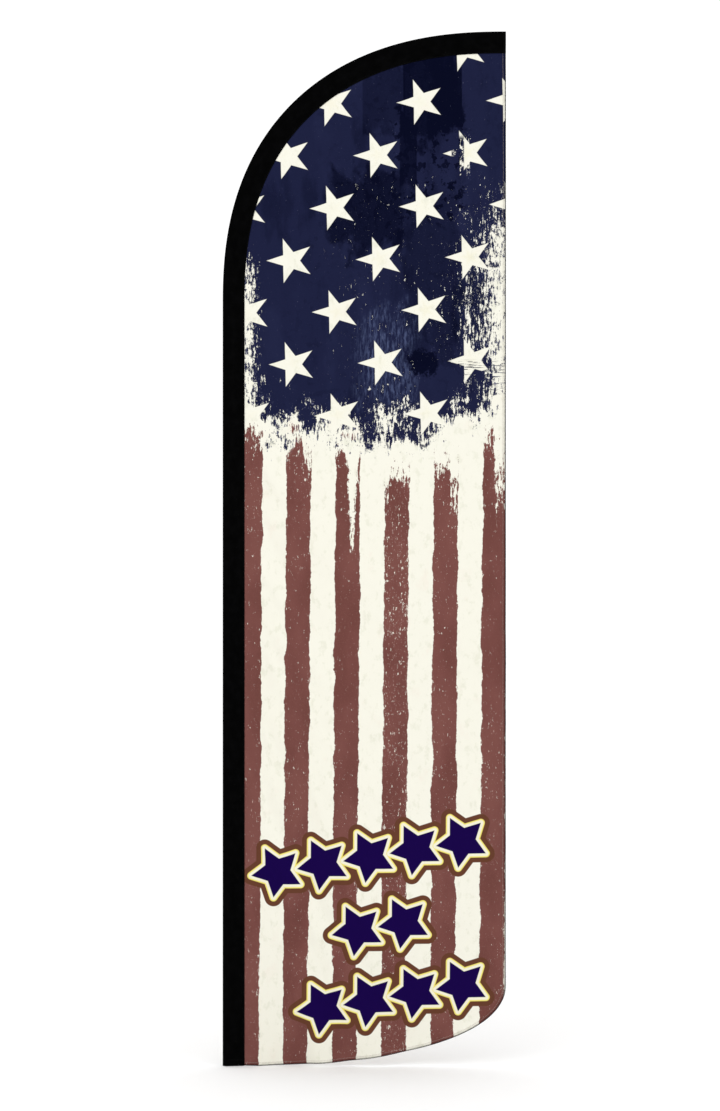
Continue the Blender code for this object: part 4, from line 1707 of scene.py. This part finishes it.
@dataclass
class SweptRod:
    """A rod or sleeve that follows the bent pole's axis inside the flag."""

    node: str
    slot: Slot
    start: float
    end: float
    radii: Callable[[float], float]
    sides: int = 28
    step: float = 0.012
    ease: float = 0.0004
    skin: float = 0.005  # the radius that the pattern round the rod is measured at

    def build(self, material: bpy.types.Material) -> bpy.types.Object:
        """Sweeps a ring along the axis and puts the piece in its node's place.

        Args:
            material: its finish.

        Returns:
            The finished piece.
        """
        count = max(6, int((self.end - self.start) / self.step))
        inner = np.linspace(self.start + self.ease, self.end - self.ease, count)
        runs = np.concatenate([[self.start], inner, [self.end]])
        x, z = EDGE.inset(runs, taper(runs))
        mesh = lines_mesh(self.node + "_axis", [np.column_stack([x, np.zeros(len(runs)), z])])
        radii = np.array([self.radii(float(run)) for run in runs])
        radii[[0, -1]] -= self.ease
        write_value(mesh, "rod_radius", radii)
        tree = Growth(self.node + "_sweep", {"Sides": ("NodeSocketInt", self.sides)})
        curve = tree.node("GeometryNodeMeshToCurve", None, {"Mesh": tree.given("Geometry")})
        radius = tree.node("GeometryNodeInputNamedAttribute", {"data_type": "FLOAT"}, {"Name": "rod_radius"})
        ring = tree.node(
            "GeometryNodeCurvePrimitiveCircle",
            {"mode": "RADIUS"},
            {"Resolution": tree.given("Sides"), "Radius": 1.0},
        )
        swept = tree.node(
            "GeometryNodeCurveToMesh",
            None,
            {
                "Curve": curve.outputs[0],
                "Profile Curve": ring.outputs[0],
                "Scale": radius.outputs[0],
                "Fill Caps": True,
            },
        )
        tree.close(swept.outputs[0], material)
        made = tree.grow(self.node + "_swept", mesh, {"Sides": self.sides})
        mesh = made.data
        mesh.set_sharp_from_angle(angle=math.radians(40))
        self._write_round(mesh)
        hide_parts(self.node)
        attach(made, Body.FLAG.value)
        return made

    def _write_round(self, mesh: bpy.types.Mesh) -> None:
        """Gives the rod coordinates round it and along it."""
        co = points_of(mesh)
        runs = np.linspace(self.start, self.end, 400)
        ax, az = EDGE.inset(runs, taper(runs))
        nx = np.interp(runs, EDGE.run, EDGE.nx)
        nz = np.interp(runs, EDGE.run, EDGE.nz)
        nearest = np.array([np.hypot(ax - p[0], az - p[2]).argmin() for p in co])
        away = (co[:, 0] - ax[nearest]) * nx[nearest] + (co[:, 2] - az[nearest]) * nz[nearest]
        turn = np.arctan2(co[:, 1], away)
        write_cut(mesh, np.column_stack([turn * self.skin, runs[nearest]]))


@dataclass
class PoleSet:
    """The pole in the sleeve: spindle, bushes, two tubes, two rods and what joins them."""

    gap: float = GAP
    shaft: float = 0.0070
    neck: float = 0.0050
    neck_length: float = 0.010
    stud_hole: float = 0.00425
    stud_depth: float = 0.024
    thread_pitch: float = 0.0014
    thread_depth: float = 0.0005
    thread_turns: int = 16
    relief: float = 0.00025  # how much slimmer the spindle is between its bearing ends
    relief_low: float = 0.0446
    relief_high: float = 0.1640
    relief_slope: float = 0.0006
    foot_flange: float = 0.008
    tube_wall: float = 0.0012
    bush_flange: float = 0.003
    plug_flange: float = 0.006
    rod_radius: float = 0.00475
    tip_radius: float = 0.0025
    tip_rod_length: float = 1.050
    ferrule_half: float = 0.04
    cap_grip: float = 0.026
    end_tuck: float = 0.010  # from the sleeve's sewn end to the tip pocket
    pocket_wall: float = 0.0015
    cap_wall: float = 0.002
    finishes: dict[Slot, bpy.types.Material] = field(default_factory=dict)

    def turned(self) -> list[TurnedPiece]:
        """The pieces that are turned on the pole's axis, from the nodes' own boxes."""
        low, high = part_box("spindle")
        shaft, neck, hole, foot = self.shaft, self.neck, self.stud_hole, high.x
        neck_z = high.z - self.neck_length
        slim_shaft = shaft - self.relief
        thread = []
        for k in range(self.thread_turns):
            z = 0.0012 + self.thread_pitch * k
            thread += [(hole, z), (hole + self.thread_depth, z + self.thread_pitch / 2)]
        spindle = [
            (0.0, high.z),
            (neck, high.z),
            (neck, neck_z),
            (shaft, neck_z),
            (shaft, self.relief_high),
            (slim_shaft, self.relief_high - self.relief_slope),
            (slim_shaft, self.relief_low + self.relief_slope),
            (shaft, self.relief_low),
            (shaft, self.foot_flange),
            (foot, self.foot_flange),
            (foot, 0.0),
            (hole + 0.0006, 0.0),
            *thread,
            (hole, self.stud_depth),
            (0.0, self.stud_depth + 0.0015),
        ]
        nose_low, nose_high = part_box("spindle_nose")
        nose = [
            (0.0, nose_high.z),
            (0.0028, nose_high.z - 0.0001),
            (0.0044, nose_high.z - 0.0008),
            (0.0060, nose_high.z - 0.0022),
            (shaft, nose_high.z - 0.0044),
            (shaft, nose_low.z),
            (neck + self.gap, nose_low.z),
            (neck + self.gap, high.z + self.gap),
            (0.0, high.z + self.gap),
        ]
        pieces = [
            TurnedPiece("spindle", Body.BASE, Slot.ZINC_STEEL, spindle, 0.0003, 64, False),
            TurnedPiece("spindle_nose", Body.BASE, Slot.BLACK_NYLON, nose, 0.0003, 48, False),
        ]
        bore = shaft + self.gap
        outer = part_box("lower_tube")[1].x
        inner = outer - self.tube_wall
        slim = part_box("upper_tube")[1].x
        slim_in = slim - self.tube_wall
        rings = (
            ("thrust_washer", Body.TURNTABLE, Slot.WHITE_ACETAL, bore, outer),
            ("lower_tube", Body.LOWER_POLE, Slot.ALUMINIUM, inner, outer),
            ("spindle_bush", Body.LOWER_POLE, Slot.BLACK_NYLON, bore, inner - self.gap),
            ("upper_tube", Body.UPPER_POLE, Slot.ALUMINIUM, slim_in, slim),
            ("stop_ring", Body.UPPER_POLE, Slot.BLACK_NYLON, slim + self.gap, outer),
        )
        for node, body, slot, near, far in rings:
            low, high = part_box(node)
            profile = [(far, high.z), (far, low.z), (near, low.z), (near, high.z)]
            pieces.append(TurnedPiece(node, body, slot, profile))
        low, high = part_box("foot_bush")
        shoulder = low.z + self.bush_flange
        foot_bush = [
            (inner - self.gap, high.z),
            (inner - self.gap, shoulder),
            (outer, shoulder),
            (outer, low.z),
            (bore, low.z),
            (bore, high.z),
        ]
        pieces.append(TurnedPiece("foot_bush", Body.LOWER_POLE, Slot.BLACK_NYLON, foot_bush))
        low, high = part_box("rod_reducer")
        rod_bore = self.rod_radius + self.gap
        flange = high.z - self.plug_flange
        plug = [
            (0.0, low.z + self.plug_flange),
            (rod_bore, low.z + self.plug_flange),
            (rod_bore, high.z),
            (slim, high.z),
            (slim, flange),
            (slim_in - self.gap, flange),
            (slim_in - self.gap, low.z),
            (0.0, low.z),
        ]
        reducer = TurnedPiece("rod_reducer", Body.UPPER_POLE, Slot.BLACK_NYLON, plug, closed=False)
        pieces.append(reducer)
        return pieces

    def build(self) -> list[bpy.types.Object]:
        """Makes the whole pole set and returns its pieces."""
        made = [piece.build(self.finishes[piece.slot]) for piece in self.turned()]
        pocket_end = EDGE.length - self.end_tuck - self.gap
        cap_end = pocket_end - self.pocket_wall - self.gap
        rod_end = cap_end - self.cap_wall - self.gap
        joint = rod_end - self.tip_rod_length
        thick, thin = self.rod_radius, self.tip_radius
        taper_start, taper_end = joint + self.ferrule_half, cap_end - self.cap_grip

        def tip(run: float) -> float:
            """The tip rod's radius, which tapers past its ferrule."""
            share = min(max((run - taper_start) / (taper_end - taper_start), 0.0), 1.0)
            return thick + (thin - thick) * share

        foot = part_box("flex_rod_lower")[0].z
        rods = (
            SweptRod("flex_rod_lower", Slot.FIBREGLASS, foot, joint - self.gap / 2, lambda run: thick),
            SweptRod("flex_rod_tip", Slot.FIBREGLASS, joint + self.gap / 2, rod_end, tip),
        )
        made += [rod.build(self.finishes[rod.slot]) for rod in rods]
        return made


# --------------------------------------------------------------------------------------------
# Studio


@dataclass
class Studio:
    """Camera, light, world and floor."""

    lens: float = 100.0
    sensor: float = 36.0
    camera_at: Point = (0.4530, -10.461, 1.7287)
    world_strength: float = 1.08
    key_power: float = 36.0
    key_size: float = 3.0
    key_at: Point = (-1.6, -5.2, 4.4)
    key_aim: Point = (0.45, 0.0, 1.7)
    floor_size: float = 60.0
    floor_z: float = -0.001

    def camera(self) -> None:
        """Puts the camera square in front of the flag."""
        data = bpy.data.cameras.new("studio_camera")
        data.lens = self.lens
        data.sensor_width = self.sensor
        data.sensor_fit = "AUTO"
        made = add_object("studio_camera", data)
        made.location = self.camera_at
        made.rotation_euler = (math.pi / 2, 0.0, 0.0)
        bpy.context.scene.camera = made

    def light(self) -> None:
        """A white room with one broad soft lamp to the upper left of the camera."""
        world = bpy.data.worlds.new("white_room")
        world.use_nodes = True
        shade = world.node_tree.nodes["Background"]
        shade.inputs[0].default_value = (1.0, 1.0, 1.0, 1.0)
        shade.inputs[1].default_value = self.world_strength
        bpy.context.scene.world = world
        data = bpy.data.lights.new("soft_lamp", "AREA")
        data.shape = "RECTANGLE"
        data.size = data.size_y = self.key_size
        data.energy = self.key_power
        made = add_object("soft_lamp", data)
        made.location = self.key_at
        aim = Vector(self.key_aim) - Vector(self.key_at)
        made.rotation_mode = "QUATERNION"
        made.rotation_quaternion = aim.to_track_quat("-Z", "Y")
        bpy.context.scene.view_settings.view_transform = "Standard"
        bpy.context.scene.view_settings.look = "None"

    def floor(self) -> None:
        """A plain pale floor under the flag."""
        half = self.floor_size / 2
        signs = ((-1, -1), (1, -1), (1, 1), (-1, 1))
        corners = [(half * x, half * y, self.floor_z) for x, y in signs]
        mesh = mesh_from("studio_floor", corners, [(0, 1, 2, 3)])
        made = add_object("studio_floor", mesh, StudioFloor().build())
        made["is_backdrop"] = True


# --------------------------------------------------------------------------------------------


def dress_cad(finishes: dict[Slot, bpy.types.Material]) -> None:
    """Gives every CAD node that still shows the finish of its slot."""
    slots = {part["node"]: part["material_slot"] for part in frame["record"]["subparts"]}
    for node, obj in frame["nodes"].items():
        if obj.hide_render:
            continue
        obj.data.materials.clear()
        obj.data.materials.append(finishes[Slot(slots[node])])


def write_sizes() -> None:
    """Works out the CAD box and the visual model's box as lists of corners."""
    boxes = {"cad": CAD_BOX, "visual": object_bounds()}
    boxes = {name: [list(corner) for corner in box] for name, box in boxes.items()}


def main() -> None:
    """Builds every sub-assembly in order."""
    studio = Studio()
    studio.camera()
    studio.light()
    studio.floor()

    printed = FlagPrint().build()
    # each thread's second colour is the painted highlight on its ply crests
    seam_thread = Thread("black_thread", (0.003, 0.003, 0.0032), (0.008, 0.008, 0.009)).build()
    hem_thread = Thread("hem_thread", (0.34, 0.27, 0.23), (0.46, 0.39, 0.34)).build()
    edge_thread = Thread("edge_thread", (0.0035, 0.0035, 0.0050), (0.010, 0.010, 0.014)).build()
    zinc = Metal("zinc_plate", (0.62, 0.63, 0.65), (0.46, 0.47, 0.50), 0.30, round_lines=True)
    finishes = {
        Slot.ZINC_STEEL: zinc.build(),
        Slot.ALUMINIUM: Metal("drawn_aluminium", (0.76, 0.77, 0.79), (0.62, 0.63, 0.65), 0.28).build(),
        Slot.BLACK_NYLON: Moulding("black_nylon", (0.014, 0.014, 0.015), (0.040, 0.040, 0.042), 0.55).build(),
        Slot.WHITE_ACETAL: Moulding("white_acetal", (0.78, 0.78, 0.75), (0.70, 0.70, 0.67), 0.40).build(),
        Slot.FIBREGLASS: Fibreglass().build(),
        Slot.WEBBING: Webbing().build(),
        Slot.SLEEVE_CLOTH: PlainCloth().build(),
        Slot.PRINTED_CLOTH: printed,
        Slot.HEM_CLOTH: edge_thread,
    }

    stitcher = Stitcher()
    sleeve = FlagSleeve()
    log.info("sleeve: %s", sleeve.build(finishes[Slot.SLEEVE_CLOTH]).name)
    for face in Face:
        rows = sleeve.seam_rows(face)
        if face is Face.FRONT:
            rows.append(sleeve.mouth_row())
        seam = stitcher.sew(f"seam_stitches_{face.name.lower()}", rows, seam_thread)
        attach(seam, Body.FLAG.value)
        log.info("stitches: %s", seam.name)

    panel = PrintedPanel()
    cloth = panel.build(printed)
    fold_to_fly(cloth)
    log.info("panel: %s, %d points", cloth.name, len(cloth.data.vertices))
    hems = Hems(HungSurface(panel), stitcher)
    for piece in hems.build(printed, hem_thread, edge_thread):
        fold_to_fly(piece)
        log.info("hem: %s", piece.name)
    stitcher.done()

    for piece in PoleSet(finishes=finishes).build():
        log.info("pole: %s", piece.name)
    dress_cad(finishes)
    write_sizes()


if __name__ == "__main__":
    main()
